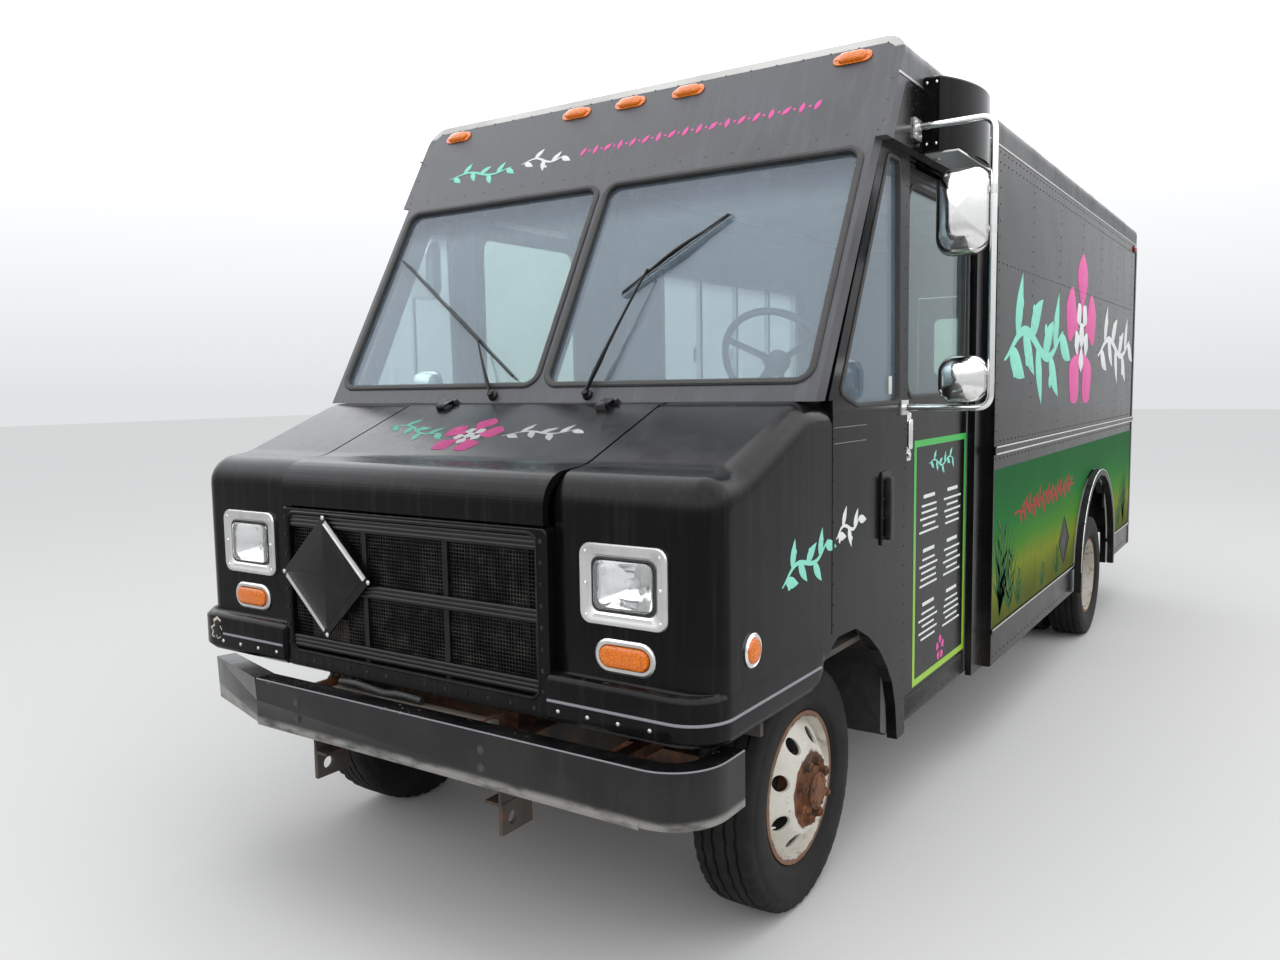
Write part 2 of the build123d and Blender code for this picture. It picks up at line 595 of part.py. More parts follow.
def cab_side():
    """The cab side between the fender seam and the door, over the front arch, with its quarter window."""
    top = OVERHANG - SEAT_GAP
    front_foot = FENDER_SEAM + SEAT_GAP
    outline = [(front_foot, 760), (front_foot, COWL),
               (shield_s(COWL) + SHIELD_DEPTH + 30, COWL),
               (shield_s(top) + SHIELD_DEPTH + SEAT_GAP, top), (DOOR_FRONT - SWING_GAP, top),
               (DOOR_FRONT - SWING_GAP, SKIRT), (FRONT_ARCH[-1][0], SKIRT)]
    panel = side_plate(outline, CAB_HALF - WALL, CAB_HALF)
    arch = FRONT_ARCH + [(FRONT_ARCH[-1][0], 300), (600, 300), (600, 850)]
    panel -= side_plate(arch, CAB_HALF - WALL - 20, CAB_HALF + 20)
    return panel - side_plate(QUARTER_WINDOW, CAB_HALF - WALL - 20, CAB_HALF + 20)


def quarter_glass():
    """The pane that fills a quarter window."""
    inset = offset(Polygon(*[(at(s), z) for s, z in QUARTER_WINDOW], align=None), -SEAT_GAP)
    return extrude(Plane.YZ.offset(CAB_HALF - 20) * inset, GLASS, dir=(1, 0, 0))


SHIELD_INNER = 24
SHIELD_OUTER = CAB_HALF - 38
SHIELD_SILL = SHIELD_FOOT[1] + 11
SHIELD_HEAD = OVERHANG - 35
SHIELD_CORNER = 55
PANE_DEPTH = 18


def shield_window(side, shrink, depth):
    """A windshield opening, or with shrink the pane in it, as a solid across the windshield plane."""
    slope = cos(radians(SHIELD_LEAN))
    width = SHIELD_OUTER - SHIELD_INNER - 2 * shrink
    height = (SHIELD_HEAD - SHIELD_SILL) / slope - 2 * shrink
    plane = shield_plane(side * (SHIELD_INNER + SHIELD_OUTER) / 2, (SHIELD_SILL + SHIELD_HEAD) / 2, PANE_DEPTH)
    return round_window(plane, width, height, SHIELD_CORNER - shrink, depth)


ROOF_RADIUS = 85


def roof_section(inset):
    """The roof's cross-section with rounded top corners, set in all round by an amount."""
    height = ROOF_TOP - ROOF_SIDE
    shape = Pos(0, ROOF_SIDE + height / 2 - inset) * Rectangle(2 * (BODY_HALF - inset), height)
    return fillet(shape.vertices().group_by(Axis.Y)[-1], ROOF_RADIUS - inset)


def under_roof(s0, s1):
    """What fills the roof's hollow between two stations, down to its side edges."""
    fill = extrude(Plane.XZ.offset(-at(s0)) * roof_section(SKIN + SEAT_GAP), s1 - s0, dir=(0, 1, 0))
    return fill - block(-BODY_HALF, BODY_HALF, s0 - 10, s1 + 10, ROOF_SIDE - 100, ROOF_SIDE)


def windshield_frame():
    """The leaning front frame: corner pillars, centre post, cowl, sill and the header up to the roof."""
    top = ROOF_TOP - SKIN - SEAT_GAP
    frame = side_plate([(shield_s(COWL), COWL), (shield_s(top), top), (shield_s(top) + SHIELD_DEPTH, top),
                        (shield_s(COWL) + SHIELD_DEPTH, COWL)], -CAB_HALF, CAB_HALF)
    brow = side_plate([(shield_s(OVERHANG), OVERHANG), (shield_s(top), top), (shield_s(top) + SHIELD_DEPTH, top),
                       (shield_s(OVERHANG) + SHIELD_DEPTH, OVERHANG)], -BODY_HALF, BODY_HALF)
    s0, s1 = shield_s(OVERHANG) - 50, shield_s(top) + 150
    room = under_roof(s0, s1) + block(-BODY_HALF, BODY_HALF, s0, s1, OVERHANG - 10, ROOF_SIDE - SEAT_GAP)
    room += block(-BODY_HALF + 60, BODY_HALF - 60, s0, s1, ROOF_SIDE - 10, ROOF_SIDE + 10)
    brow = brow & room
    frame = frame & (room + block(-BODY_HALF, BODY_HALF, 500, s1, COWL, OVERHANG))
    for side in (-1, 1):
        frame -= shield_window(side, 0, 150)
    return frame + brow + cowl()


# columns: pivot x, pivot height, elbow x, elbow height, tip x, tip height
WIPERS = [(243, COWL + 24, 355, 2215, 630, 2413), (-209, COWL + 24, -371, 1981, -1020, 2372)]
WIPER_RISE = 26


def wipers():
    """Two arms from their pivots under the windshield, each with the blade that it carries."""
    arms = []
    for x0, z0, x1, z1, x2, z2 in WIPERS:
        (p0, p1, p2) = (shield_plane(x, z, -rise).origin for x, z, rise in
                        ((x0, z0, 20), (x1, z1, WIPER_RISE), (x2, z2, WIPER_RISE - 10)))
        arm = extrude(shield_plane(x0, z0, -SEAT_GAP) * Circle(16), 28)
        for a, b, radius in ((p0, p1, 7), (p1 + (p1 - p2) * 0.35, p2, 8)):
            arm += extrude(Plane(origin=a, z_dir=b - a) * Circle(radius), (b - a).length)
        arms.append(arm)
    return arms


def windshield_glass():
    """The two flat windshield panes."""
    return [shield_window(side, SEAT_GAP, GLASS / 2) for side in (-1, 1)]


def roof():
    """The roof skin with rolled side edges, cut to the windshield plane in front."""
    half = BODY_HALF
    front = shield_s(ROOF_SIDE) - 50
    skin = extrude(Plane.XZ.offset(-at(front)) * (roof_section(0) - roof_section(SKIN)), BODY_REAR - front,
                   dir=(0, 1, 0))
    lean_cut = side_plate([(front - 200, ROOF_SIDE - 60), (shield_s(ROOF_SIDE - 60), ROOF_SIDE - 60),
                           (shield_s(ROOF_TOP + 60), ROOF_TOP + 60), (front - 200, ROOF_TOP + 60)],
                          -half - 50, half + 50)
    return skin - lean_cut


REAR_DOORWAY = (630, FLOOR, ROOF_SIDE - 320)
REAR_HINGE = (REAR_DOORWAY[0] - 3, BODY_REAR + 25)
REAR_HINGE_Z = (REAR_DOORWAY[1] + 180, (REAR_DOORWAY[1] + REAR_DOORWAY[2]) / 2, REAR_DOORWAY[2] - 180)
HINGE_HALF = 35
HINGE_R = 9
HINGE_PIN_R = 5


def rear_hinge_lugs():
    """The wall's half of a rear door's hinges: two lugs and a pin at each."""
    x, s = REAR_HINGE
    outline = [(x + 12, BODY_REAR - 2), (x + 45, BODY_REAR - 2), (x + 6, s + 6), (x - 2, s - 6)]
    lugs = []
    for z in REAR_HINGE_Z:
        hinge = Pos(x, at(s), z) * Cylinder(HINGE_PIN_R, 2 * HINGE_HALF + 24)
        for foot in (z - HINGE_HALF - 12, z + HINGE_HALF + SEAT_GAP):
            hinge += plan_plate(outline, foot, foot + 12 - SEAT_GAP)
            hinge += Pos(x, at(s), foot + 6) * Cylinder(HINGE_R, 12 - SEAT_GAP)
        lugs.append(hinge)
    return lugs[0] + lugs[1] + lugs[2]


def rear_wall():
    """The rear frame round the doorway, up to the roof skin."""
    half, foot, head = REAR_DOORWAY
    front = BODY_REAR - WALL
    wall = block(-BODY_INNER, BODY_INNER, front, BODY_REAR, RAIL_TOP + SEAT_GAP, ROOF_SIDE) + under_roof(front, BODY_REAR)
    wall -= block(-half, half, front - 20, BODY_REAR + 20, foot, head)
    lugs = rear_hinge_lugs()
    return wall + lugs + other_side(lugs)


# Nose

NOSE_RADIUS = 85
NOSE_ROLL = 105
NOSE_EASE = 250
NOSE_TOP = COWL - 195
# the top line of the nose as (station, height): the front roll's corner, the foot of the rise and its top
NOSE_LINE = [(160, COWL - 179), (600, COWL)]
BAND_ROUND = 130
BAND_SIDE = 12
BAND_EDGE = 20
HEADLIGHT = (CAB_HALF - 292, 1247)
LENS = (200, 142)
BEZEL = (295, 232)
TURN_LAMP = (CAB_HALF - 291, 1044, 84, 31)


def fender():
    """A front corner: lower band, headlight panel, rounded shoulder and the side back to the seam."""
    x0, x1 = BLOCK_HALF + SEAT_GAP, CAB_HALF
    roll = {1: NOSE_ROLL, 2: NOSE_EASE, 3: NOSE_EASE}
    panel = rounded_side_plate([(0, FENDER_FOOT), (0, NOSE_TOP)] + NOSE_LINE
                               + [(FENDER_SEAM, COWL), (FENDER_SEAM, FENDER_FOOT)], roll, x0, x1)
    panel = fillet(panel.edges().filter_by(Axis.Z).group_by(Axis.Y)[0].sort_by(Axis.X)[-1], NOSE_RADIUS)
    inner_roll = {1: NOSE_ROLL - SKIN, 2: NOSE_EASE, 3: NOSE_EASE}
    low = [(s, z - SKIN) for s, z in NOSE_LINE]
    hollow = rounded_side_plate([(SKIN, FENDER_FOOT - 10), (SKIN, NOSE_TOP - SKIN)] + low
                                + [(FENDER_SEAM + 10, COWL - SKIN), (FENDER_SEAM + 10, FENDER_FOOT - 10)],
                                inner_roll, x0 - 10, x1 - SKIN)
    hollow = fillet(hollow.edges().filter_by(Axis.Z).group_by(Axis.Y)[0].sort_by(Axis.X)[-1], NOSE_RADIUS - SKIN)
    band = block(x0, x1 + BAND_SIDE, BAND_FRONT, FRONT_ARCH[0][0], FENDER_FOOT, BAND_TOP)
    band = fillet(band.edges().filter_by(Axis.Z).group_by(Axis.Y)[0].sort_by(Axis.X)[-1], BAND_ROUND)
    front_edges = band.faces().sort_by(Axis.Z)[0].edges() + band.faces().sort_by(Axis.Z)[-1].edges()
    rims = [e for e in front_edges if e.center().Y < at(BAND_FRONT) + 1 or e.center().X > x1 - BAND_ROUND / 3]
    band = chamfer(rims, BAND_EDGE)
    band -= block(x0 - 10, x1 - SKIN, SKIN, FENDER_SEAM, FENDER_FOOT - 10, BAND_TOP + 10)
    body = panel - hollow + (band - hollow)
    arch = [(FENDER_SEAM + 20, 300), (FENDER_SEAM + 20, 940), (731, 917), (673, 885), (611, FENDER_FOOT - 1),
            (611, 300)]
    body -= side_plate(arch, x0 - 20, x1 + 40)
    lamp_plane = Plane(origin=(HEADLIGHT[0], at(0), HEADLIGHT[1]), x_dir=(1, 0, 0), z_dir=(0, -1, 0))
    return body - round_window(lamp_plane, LENS[0] - 16, LENS[1] - 16, 22, 60)


GRILLE_TOP = COWL - 347
GRILLE_OPENING = (556, 895, GRILLE_TOP - 22)
GRILLE_BACK = 40
MESH_BAR = 9
MESH_ROWS = 9
MESH_COLUMNS = 18
# columns: x, height, half width, half height
PLACARD = (-365, GRILLE_TOP - 228, 222, 208)
PLACARD_PROUD = 10


def grille():
    """The nose block round its opening, filled by a welded grid of bars between three wider rails,
    which carry a blank placard plate."""
    half, foot, head = GRILLE_OPENING
    frame = block(-BLOCK_HALF, BLOCK_HALF, GRILLE_FRONT, GRILLE_BACK, FENDER_FOOT, GRILLE_TOP)
    frame = fillet(frame.edges().filter_by(Axis.Z).group_by(Axis.Y)[0], 22)
    plane = Plane(origin=(0, at(0), (foot + head) / 2), x_dir=(1, 0, 0), z_dir=(0, -1, 0))
    frame -= round_window(plane, 2 * half, head - foot, 30, 200)
    s0 = GRILLE_FRONT + 25
    for i in range(MESH_COLUMNS):
        x = -half + 2 * half * (i + 1) / (MESH_COLUMNS + 1)
        frame += block(x - MESH_BAR / 2, x + MESH_BAR / 2, s0, s0 + MESH_BAR, foot - 5, head + 5)
    for i in range(MESH_ROWS):
        z = foot + (head - foot) * (i + 1) / (MESH_ROWS + 1)
        frame += block(-half - 5, half + 5, s0 - 4, s0 + 5, z - MESH_BAR / 2, z + MESH_BAR / 2)
    for z in (foot + 30, (foot + head) / 2, head - 24):
        frame += block(-half - 5, half + 5, GRILLE_FRONT + 8, s0 + 2, z - 9, z + 9)
    x, z, half_width, half_height = PLACARD
    diamond = [(x - half_width, z), (x, z - half_height), (x + half_width, z), (x, z + half_height)]
    return frame + front_plate(diamond, GRILLE_FRONT - PLACARD_PROUD, GRILLE_FRONT + 10)


HOOD_HALF = BLOCK_HALF - SWING_GAP - 2
HOOD_SHEET = 25
HOOD_HINGE = (HOOD_REAR + 4, COWL + 8)
HOOD_HINGE_X = 380
HOOD_HINGE_HALF = 22
HOOD_HINGE_R = 7
HOOD_PIN_R = 4


def hood():
    """The lid between the fenders, rolled down over the grille in front and rising to the cowl."""
    foot = GRILLE_TOP + SWING_GAP
    (ease_s, ease_z), (top_s, top_z) = NOSE_LINE
    rear_z = ease_z + (top_z - ease_z) * (HOOD_REAR - ease_s) / (top_s - ease_s)
    outline = [(GRILLE_FRONT, foot), (GRILLE_FRONT, NOSE_TOP), (ease_s, ease_z), (HOOD_REAR, rear_z),
               (HOOD_REAR, rear_z - HOOD_SHEET), (ease_s, ease_z - HOOD_SHEET),
               (GRILLE_FRONT + HOOD_SHEET, NOSE_TOP - HOOD_SHEET), (GRILLE_FRONT + HOOD_SHEET, foot)]
    lid = rounded_side_plate(outline, {1: NOSE_ROLL, 2: NOSE_EASE, 5: NOSE_EASE, 6: NOSE_ROLL - HOOD_SHEET},
                             -HOOD_HALF, HOOD_HALF)
    s, z = HOOD_HINGE
    for side in (-1, 1):
        x = side * HOOD_HINGE_X
        knuckle_tube = Pos(x, at(s), z) * Rot(0, 90, 0) * Cylinder(HOOD_HINGE_R, 2 * HOOD_HINGE_HALF)
        strap = side_plate([(s - 50, z - 36), (s - 8, z - 20), (s + 2, z - 6), (s, z + 6), (s - 60, z - 16)],
                           x - HOOD_HINGE_HALF, x + HOOD_HINGE_HALF)
        lid += knuckle_tube + strap
        lid -= Pos(x, at(s), z) * Rot(0, 90, 0) * Cylinder(HOOD_PIN_R + PIN_GAP, 3 * HOOD_HINGE_HALF)
    return lid


def cowl():
    """The strip between the hood and the foot of the windshield."""
    front = HOOD_REAR + SWING_GAP
    top = COWL
    strip = side_plate([(front, top - 40), (front, top), (shield_s(COWL) + SHIELD_DEPTH, top),
                        (shield_s(COWL) + SHIELD_DEPTH, top - 8), (FIREWALL - SEAT_GAP, top - 8),
                        (FIREWALL - SEAT_GAP, top - 40)], -BLOCK_HALF, BLOCK_HALF)
    s, z = HOOD_HINGE
    for side in (-1, 1):
        x = side * HOOD_HINGE_X
        strip += Pos(x, at(s), z) * Rot(0, 90, 0) * Cylinder(HOOD_PIN_R, 2 * HOOD_HINGE_HALF + 24)
        for a in (x - HOOD_HINGE_HALF - 12, x + HOOD_HINGE_HALF + SEAT_GAP):
            b = a + 12 - SEAT_GAP
            strip += side_plate([(s + 10, top - 2), (s + 30, top - 2), (s + 4, z + 6), (s - 5, z)], a, b)
            strip += Pos((a + b) / 2, at(s), z) * Rot(0, 90, 0) * Cylinder(HOOD_HINGE_R, b - a)
    return strip


BUMPER_HALF = CAB_HALF + 20
BUMPER_CORNER = 170
BUMPER_BACK = 120
BENT_FROM = -640
BENT_BACK = 20
BENT_DOWN = 4


def front_bumper():
    """A channel that wraps the driver's corner; its passenger end is bent back and down."""
    foot, top = BUMPER_Z
    z_mid = (foot + top) / 2

    def section(x0, x1):
        beam = block(x0, x1, BUMPER_FRONT, BUMPER_FRONT + BUMPER_FLANGE, foot, top)
        return beam - block(x0 - 5, x1 + 5, BUMPER_FRONT + BUMPER_SHEET, BUMPER_FRONT + 200,
                            foot + BUMPER_SHEET, top - BUMPER_SHEET)

    straight = section(BENT_FROM, BUMPER_HALF - BUMPER_CORNER)
    turn_centre = (BUMPER_HALF - BUMPER_CORNER, BUMPER_FRONT + BUMPER_CORNER)
    quarter = block(turn_centre[0], BUMPER_HALF, BUMPER_FRONT, turn_centre[1], foot, top)
    place = Pos(turn_centre[0], at(turn_centre[1]), z_mid)
    ring = place * (Cylinder(BUMPER_CORNER, top - foot) - Cylinder(BUMPER_CORNER - BUMPER_FLANGE, top))
    ring -= place * (Cylinder(BUMPER_CORNER - BUMPER_SHEET, top - foot - 2 * BUMPER_SHEET))
    side = block(BUMPER_HALF - BUMPER_FLANGE, BUMPER_HALF, turn_centre[1], BUMPER_BACK, foot, top)
    side -= block(BUMPER_HALF - 200, BUMPER_HALF - BUMPER_SHEET, turn_centre[1] - 5, BUMPER_BACK + 5,
                  foot + BUMPER_SHEET, top - BUMPER_SHEET)
    hinge = Vector(BENT_FROM, at(BUMPER_FRONT), z_mid)
    end = Pos(-hinge.X, -hinge.Y, -hinge.Z) * section(BENT_FROM - 530, BENT_FROM)
    bent = Pos(hinge.X, hinge.Y, hinge.Z) * Rot(0, -BENT_DOWN, -BENT_BACK) * end
    return straight + (ring & quarter) + side + bent


REAR_STEP_Z = (500, 640)


def rear_bumper():
    """The rear step: a channel with a drilled plate for a hitch."""
    foot, top = REAR_STEP_Z
    front, back = RAIL_REAR + SEAT_GAP, STEP_REAR
    half = BODY_HALF - 120
    step = block(-half, half, front, back, foot, top)
    step -= block(-half - 10, half + 10, front - 10, back - BUMPER_SHEET, foot + BUMPER_SHEET, top - BUMPER_SHEET)
    step += block(-RAIL_X - 40, RAIL_X + 40, front, front + 12, foot, top)
    plate_x, plate_z = HITCH_SPACING[0] / 2, HITCH_SPACING[1] / 2
    for x in (-plate_x, plate_x):
        for z in (-plate_z, plate_z):
            step -= Pos(x, at(back - 6), (foot + top) / 2 + z) * Rot(90, 0, 0) * Cylinder(HITCH_HOLE_R, 40)
    return step


# Lamps, glass and fittings

def front_facing(x, station, height):
    """A plane at a station that faces the front."""
    return Plane(origin=(x, at(station), height), x_dir=(1, 0, 0), z_dir=(0, -1, 0))


def headlight_bezel():
    """A satin surround with its rounded opening."""
    plane = front_facing(HEADLIGHT[0], -SEAT_GAP, HEADLIGHT[1])
    plate = extrude(plane * RectangleRounded(*BEZEL, 30), 14)
    return plate - round_window(plane, LENS[0], LENS[1], 30, 40)


def headlight():
    """A sealed rectangular lamp, its lens crowned a little."""
    plane = front_facing(HEADLIGHT[0], -SEAT_GAP, HEADLIGHT[1])
    lens = extrude(plane * RectangleRounded(LENS[0] - 0.8, LENS[1] - 0.8, 30), 22, taper=8)
    return lens + extrude(plane * RectangleRounded(LENS[0] - 20, LENS[1] - 20, 18), -70)


CLEARANCE_X = (195 - BODY_HALF, -280, 0, 280, BODY_HALF - 195)
CLEARANCE_Z = ROOF_TOP - 68
SIDE_MARKER = (202, 1058, 50)


def oval_lamp(plane, half_width, half_height, proud):
    """A low oval lamp on a plane."""
    return extrude(plane * SlotOverall(2 * half_width, 2 * half_height), proud, taper=14)


def amber_lamps():
    """The turn lamps, the side markers and the row above the windshield."""
    x, z, half_width, half_height = TURN_LAMP
    lamps = both_sides(oval_lamp(front_facing(x, -SEAT_GAP, z), half_width, half_height, 24))
    s, z, radius = SIDE_MARKER
    side = Plane(origin=(CAB_HALF + SEAT_GAP, at(s), z), x_dir=(0, 1, 0), z_dir=(1, 0, 0))
    lamps += both_sides(extrude(side * Circle(radius), 18, taper=20))
    for x in CLEARANCE_X:
        lamps.append(oval_lamp(shield_plane(x, CLEARANCE_Z, -SEAT_GAP), 75, 25, 26))
    return lamps


# columns: x, height, half width, half height
REAR_LAMPS = [(BODY_HALF - 240, 1000, 75, 50), (BODY_HALF - 240, 1130, 75, 50),
              (BODY_HALF - 240, ROOF_SIDE - 130, 65, 24)]


def tail_lamps():
    """The red lamps of the rear wall and the red marker on each rear top corner."""
    lamps = []
    for x, z, half_width, half_height in REAR_LAMPS:
        plane = Plane(origin=(x, at(BODY_REAR) + SEAT_GAP, z), x_dir=(-1, 0, 0), z_dir=(0, 1, 0))
        lamps += both_sides(oval_lamp(plane, half_width, half_height, 16))
    side = Plane(origin=(BODY_HALF + SEAT_GAP, at(BODY_REAR - 110), ROOF_SIDE - 40), x_dir=(0, 1, 0), z_dir=(1, 0, 0))
    return lamps + both_sides(oval_lamp(side, 60, 24, 20))


MIRROR_TUBE_X = BODY_HALF + 280
MIRROR_S = 1440
MIRROR_TOP = OVERHANG + 84
MIRROR_FOOT = COWL - 40
MIRROR_TUBE_R = 13
# columns: centre x, centre height, half width, half height, depth
MIRROR_HEADS = [(MIRROR_TUBE_X - 106, MIRROR_TOP - 320, 94, 153, 60),
                (MIRROR_TUBE_X - 98, MIRROR_FOOT + 103, 88, 88, 55)]


def mirror_arm():
    """A bent tube standing off the cab with a tall flat mirror and a round wide-angle one."""
    wall_top, wall_foot = BODY_HALF + SEAT_GAP, CAB_HALF + SEAT_GAP
    path = FilletPolyline((wall_top, at(MIRROR_S), MIRROR_TOP), (MIRROR_TUBE_X, at(MIRROR_S), MIRROR_TOP),
                          (MIRROR_TUBE_X, at(MIRROR_S), MIRROR_FOOT), (wall_foot, at(MIRROR_S), MIRROR_FOOT),
                          radius=45)
    tube = sweep(Plane(origin=path @ 0, z_dir=path % 0) * Circle(MIRROR_TUBE_R), path)
    for x, z, half_width, half_height, depth in MIRROR_HEADS:
        plane = front_facing(x, MIRROR_S + 18, z)
        corner = min(half_width, half_height) - (45 if half_height > half_width else 1)
        head = extrude(plane * RectangleRounded(2 * half_width, 2 * half_height, corner), depth, taper=22)
        tube += head + extrude(plane * RectangleRounded(2 * half_width, 2 * half_height, corner), -14)
        tube += rod((x, MIRROR_S, z), (MIRROR_TUBE_X, MIRROR_S, z), 9)
    return tube


SIDE_BOX = (1510, 2130, OVERHANG + 10, OVERHANG + 280, 62, 150)


def side_box():
    """A case above the driver's door with a flat front and a bowed cover."""
    s0, s1, z0, z1, front, bulge = SIDE_BOX
    x0 = BODY_HALF + SEAT_GAP
    a, b = (x0, at(s0)), (x0 + front, at(s0))
    c, d = (x0 + bulge, at((s0 + s1) / 2)), (x0 + front / 2, at(s1))
    outline = Line(a, b) + ThreePointArc(b, c, d) + Line(d, (x0, at(s1))) + Line((x0, at(s1)), a)
    case = extrude(Plane.XY.offset(z0) * make_face(outline), z1 - z0, dir=(0, 0, 1))
    return fillet(case.edges().group_by(Axis.Z)[-1], 12)


# Cab and kitchen

DASH_REAR = 905


def dashboard():
    """The shelf under the windshield with the raised cover over the engine."""
    front, foot, top = FIREWALL + SHEET + 5, COWL - 245, COWL - 55
    half = CAB_INNER - 5
    shelf = side_plate([(front, foot), (front, top), (front + 35, top + 13), (DASH_REAR, top), (DASH_REAR, foot)],
                       -half, half)
    cover = side_plate([(front, FLOOR + SEAT_GAP), (front, foot), (DASH_REAR, foot), (DOG_REAR, DOG_TOP),
                        (DOG_REAR, FLOOR + SEAT_GAP)], -DOG_HALF + 5, DOG_HALF - 5)
    room = side_plate([(front - 65, FLOOR - 100), (front - 65, DOG_TOP - 30), (DASH_REAR, DOG_TOP - 30),
                       (DOG_REAR - SHEET, DOG_TOP - 60), (DOG_REAR - SHEET, FLOOR - 100)],
                      -DOG_HALF + 5 + SHEET, DOG_HALF - 5 - SHEET)
    shelf -= mirrored_cut(CAB_INNER - NOSE_RADIUS, BODY_HALF, front - 10, FENDER_SEAM + 5,
                          COWL - NOSE_RADIUS - 35, COWL)
    return shelf + (cover - room)


STEERING = (620, 1420, COWL + 140)
STEERING_R = 230


def steering_wheel():
    """A three-spoke wheel on its column, which leans out of the dashboard."""
    x, s, z = STEERING
    start = Vector(x, at(DASH_REAR - 20), COWL - 175)
    centre = Vector(x, at(s), z)
    plane = Plane(origin=centre, x_dir=(1, 0, 0), z_dir=centre - start)
    wheel = plane * Torus(STEERING_R, 15)
    wheel += extrude(plane * Circle(48), 22, both=True)
    for turn in (0, 120, 240):
        wheel += plane * (Rot(0, 0, 90 + turn) * Pos(STEERING_R / 2, 0, 0) * Box(STEERING_R - 6, 26, 10))
    column = extrude(Plane(origin=start, z_dir=centre - start) * Circle(26), (centre - start).length)
    return wheel + (column - block(x - 60, x + 60, DASH_REAR - 200, DASH_REAR + SEAT_GAP, COWL - 345, COWL + 55))


def driver_seat():
    """A high-backed seat on a pedestal."""
    x = STEERING[0]
    seat = FLOOR + 600
    pedestal = block(x - 150, x + 150, 1800, 2080, FLOOR + SEAT_GAP, seat - 160)
    cushion = fillet(block(x - 240, x + 240, 1700, 2180, seat - 170, seat).edges().filter_by(Axis.Y), 40)
    back = side_plate([(2080, seat - 20), (2200, seat - 20), (2290, seat + 860), (2240, seat + 900),
                       (2190, seat + 890)], x - 220, x + 220)
    return pedestal + cushion + fillet(back.edges().filter_by(Axis.X).group_by(Axis.Z)[-1], 15)


COUNTER_FRONT = 3330
COUNTER_REAR = 6600
COUNTER_TOP = FLOOR + 660
COUNTER_INNER = BODY_HALF - 690


def kitchen_counters():
    """A worktop along each side of the kitchen, on a front panel down to the floor."""
    outer = BODY_HALF - WALL - 2 * SEAT_GAP
    run = front_plate([(COUNTER_INNER, FLOOR + SEAT_GAP), (COUNTER_INNER, COUNTER_TOP), (outer, COUNTER_TOP),
                       (outer, COUNTER_TOP - 40), (COUNTER_INNER + 25, COUNTER_TOP - 40),
                       (COUNTER_INNER + 25, FLOOR + SEAT_GAP)], COUNTER_FRONT, COUNTER_REAR)
    return both_sides(run)


def serving_window():
    """The curb-side frame with its flange on the wall and a post between each two panes."""
    s0, s1, z0, z1 = SERVING
    outer, inner = BODY_HALF, BODY_HALF - WALL
    rim_size = SERVING_FRAME
    frame = block(inner, outer + 16, s0 + SEAT_GAP, s1 - SEAT_GAP, z0 + SEAT_GAP, z1 - SEAT_GAP)
    frame -= block(inner - 20, outer + 40, s0 + rim_size, s1 - rim_size, z0 + rim_size, z1 - rim_size)
    for i in (1, 2, 3):
        s = s0 + (s1 - s0) * i / 4
        frame += block(inner + 4, outer, s - 16, s + 16, z0 + rim_size - 5, z1 - rim_size + 5)
    flange = block(outer + SEAT_GAP, outer + 10, s0 - 25, s1 + 25, z0 - 25 + 18, z1 + 25)
    frame += flange - block(outer - 20, outer + 40, s0 + rim_size, s1 - rim_size, z0 + rim_size, z1 - rim_size)
    return other_side(frame)


def serving_glass():
    """Four panes in the serving window."""
    s0, s1, z0, z1 = SERVING
    panes = []
    mid = BODY_HALF - WALL / 2
    for i in range(4):
        a = s0 + (s1 - s0) * i / 4 + (SERVING_FRAME if i == 0 else 16)
        b = s0 + (s1 - s0) * (i + 1) / 4 - (SERVING_FRAME if i == 3 else 16)
        pane = block(mid - GLASS / 2, mid + GLASS / 2, a + SEAT_GAP, b - SEAT_GAP,
                     z0 + SERVING_FRAME + SEAT_GAP, z1 - SERVING_FRAME - SEAT_GAP)
        panes.append(other_side(pane))
    return panes


def roof_vent():
    """A kitchen fan's curb and its low round hood."""
    x, s = 0, 4700
    base = ROOF_TOP + SEAT_GAP
    curb = block(x - 260, x + 260, s - 260, s + 260, base, base + 90)
    profile = [(0, 80), (230, 80), (230, 150), (340, 190), (340, 240), (250, 300), (0, 330)]
    face = Polygon(*profile, align=None)
    dome = revolve(Plane.XZ * face, axis=Axis.Z)
    return curb + Pos(x, at(s), base) * dome


# Moving pieces

DOOR_WINDOW = (1568, 2330, COWL, DOOR_HEAD - 70, 70)


def cab_door():
    """A sliding cab door with its window opening and two runners in the track over its head."""
    panel = block(DOOR_FACE - DOOR_SHEET, DOOR_FACE, DOOR_FRONT, DOOR_REAR, DOOR_FOOT, DOOR_HEAD)
    s0, s1, z0, z1, radius = DOOR_WINDOW
    plane = Plane(origin=(DOOR_FACE, at((s0 + s1) / 2), (z0 + z1) / 2), x_dir=(0, 1, 0), z_dir=(1, 0, 0))
    panel -= round_window(plane, s1 - s0, z1 - z0, radius, 100)
    track_seat = OVERHANG + 2 + TRACK_SHEET + SEAT_GAP
    for s in (DOOR_FRONT + 110, DOOR_REAR - 110):
        panel += block(TRACK_X - 7, TRACK_X + 7, s - 60, s + 60, DOOR_HEAD - 2, track_seat + 2)
        panel += block(TRACK_X - TRACK_HALF + TRACK_SHEET + 3, TRACK_X + TRACK_HALF - TRACK_SHEET - 3,
                       s - 60, s + 60, track_seat, TRACK_TOP - TRACK_SHEET - 4)
    return panel


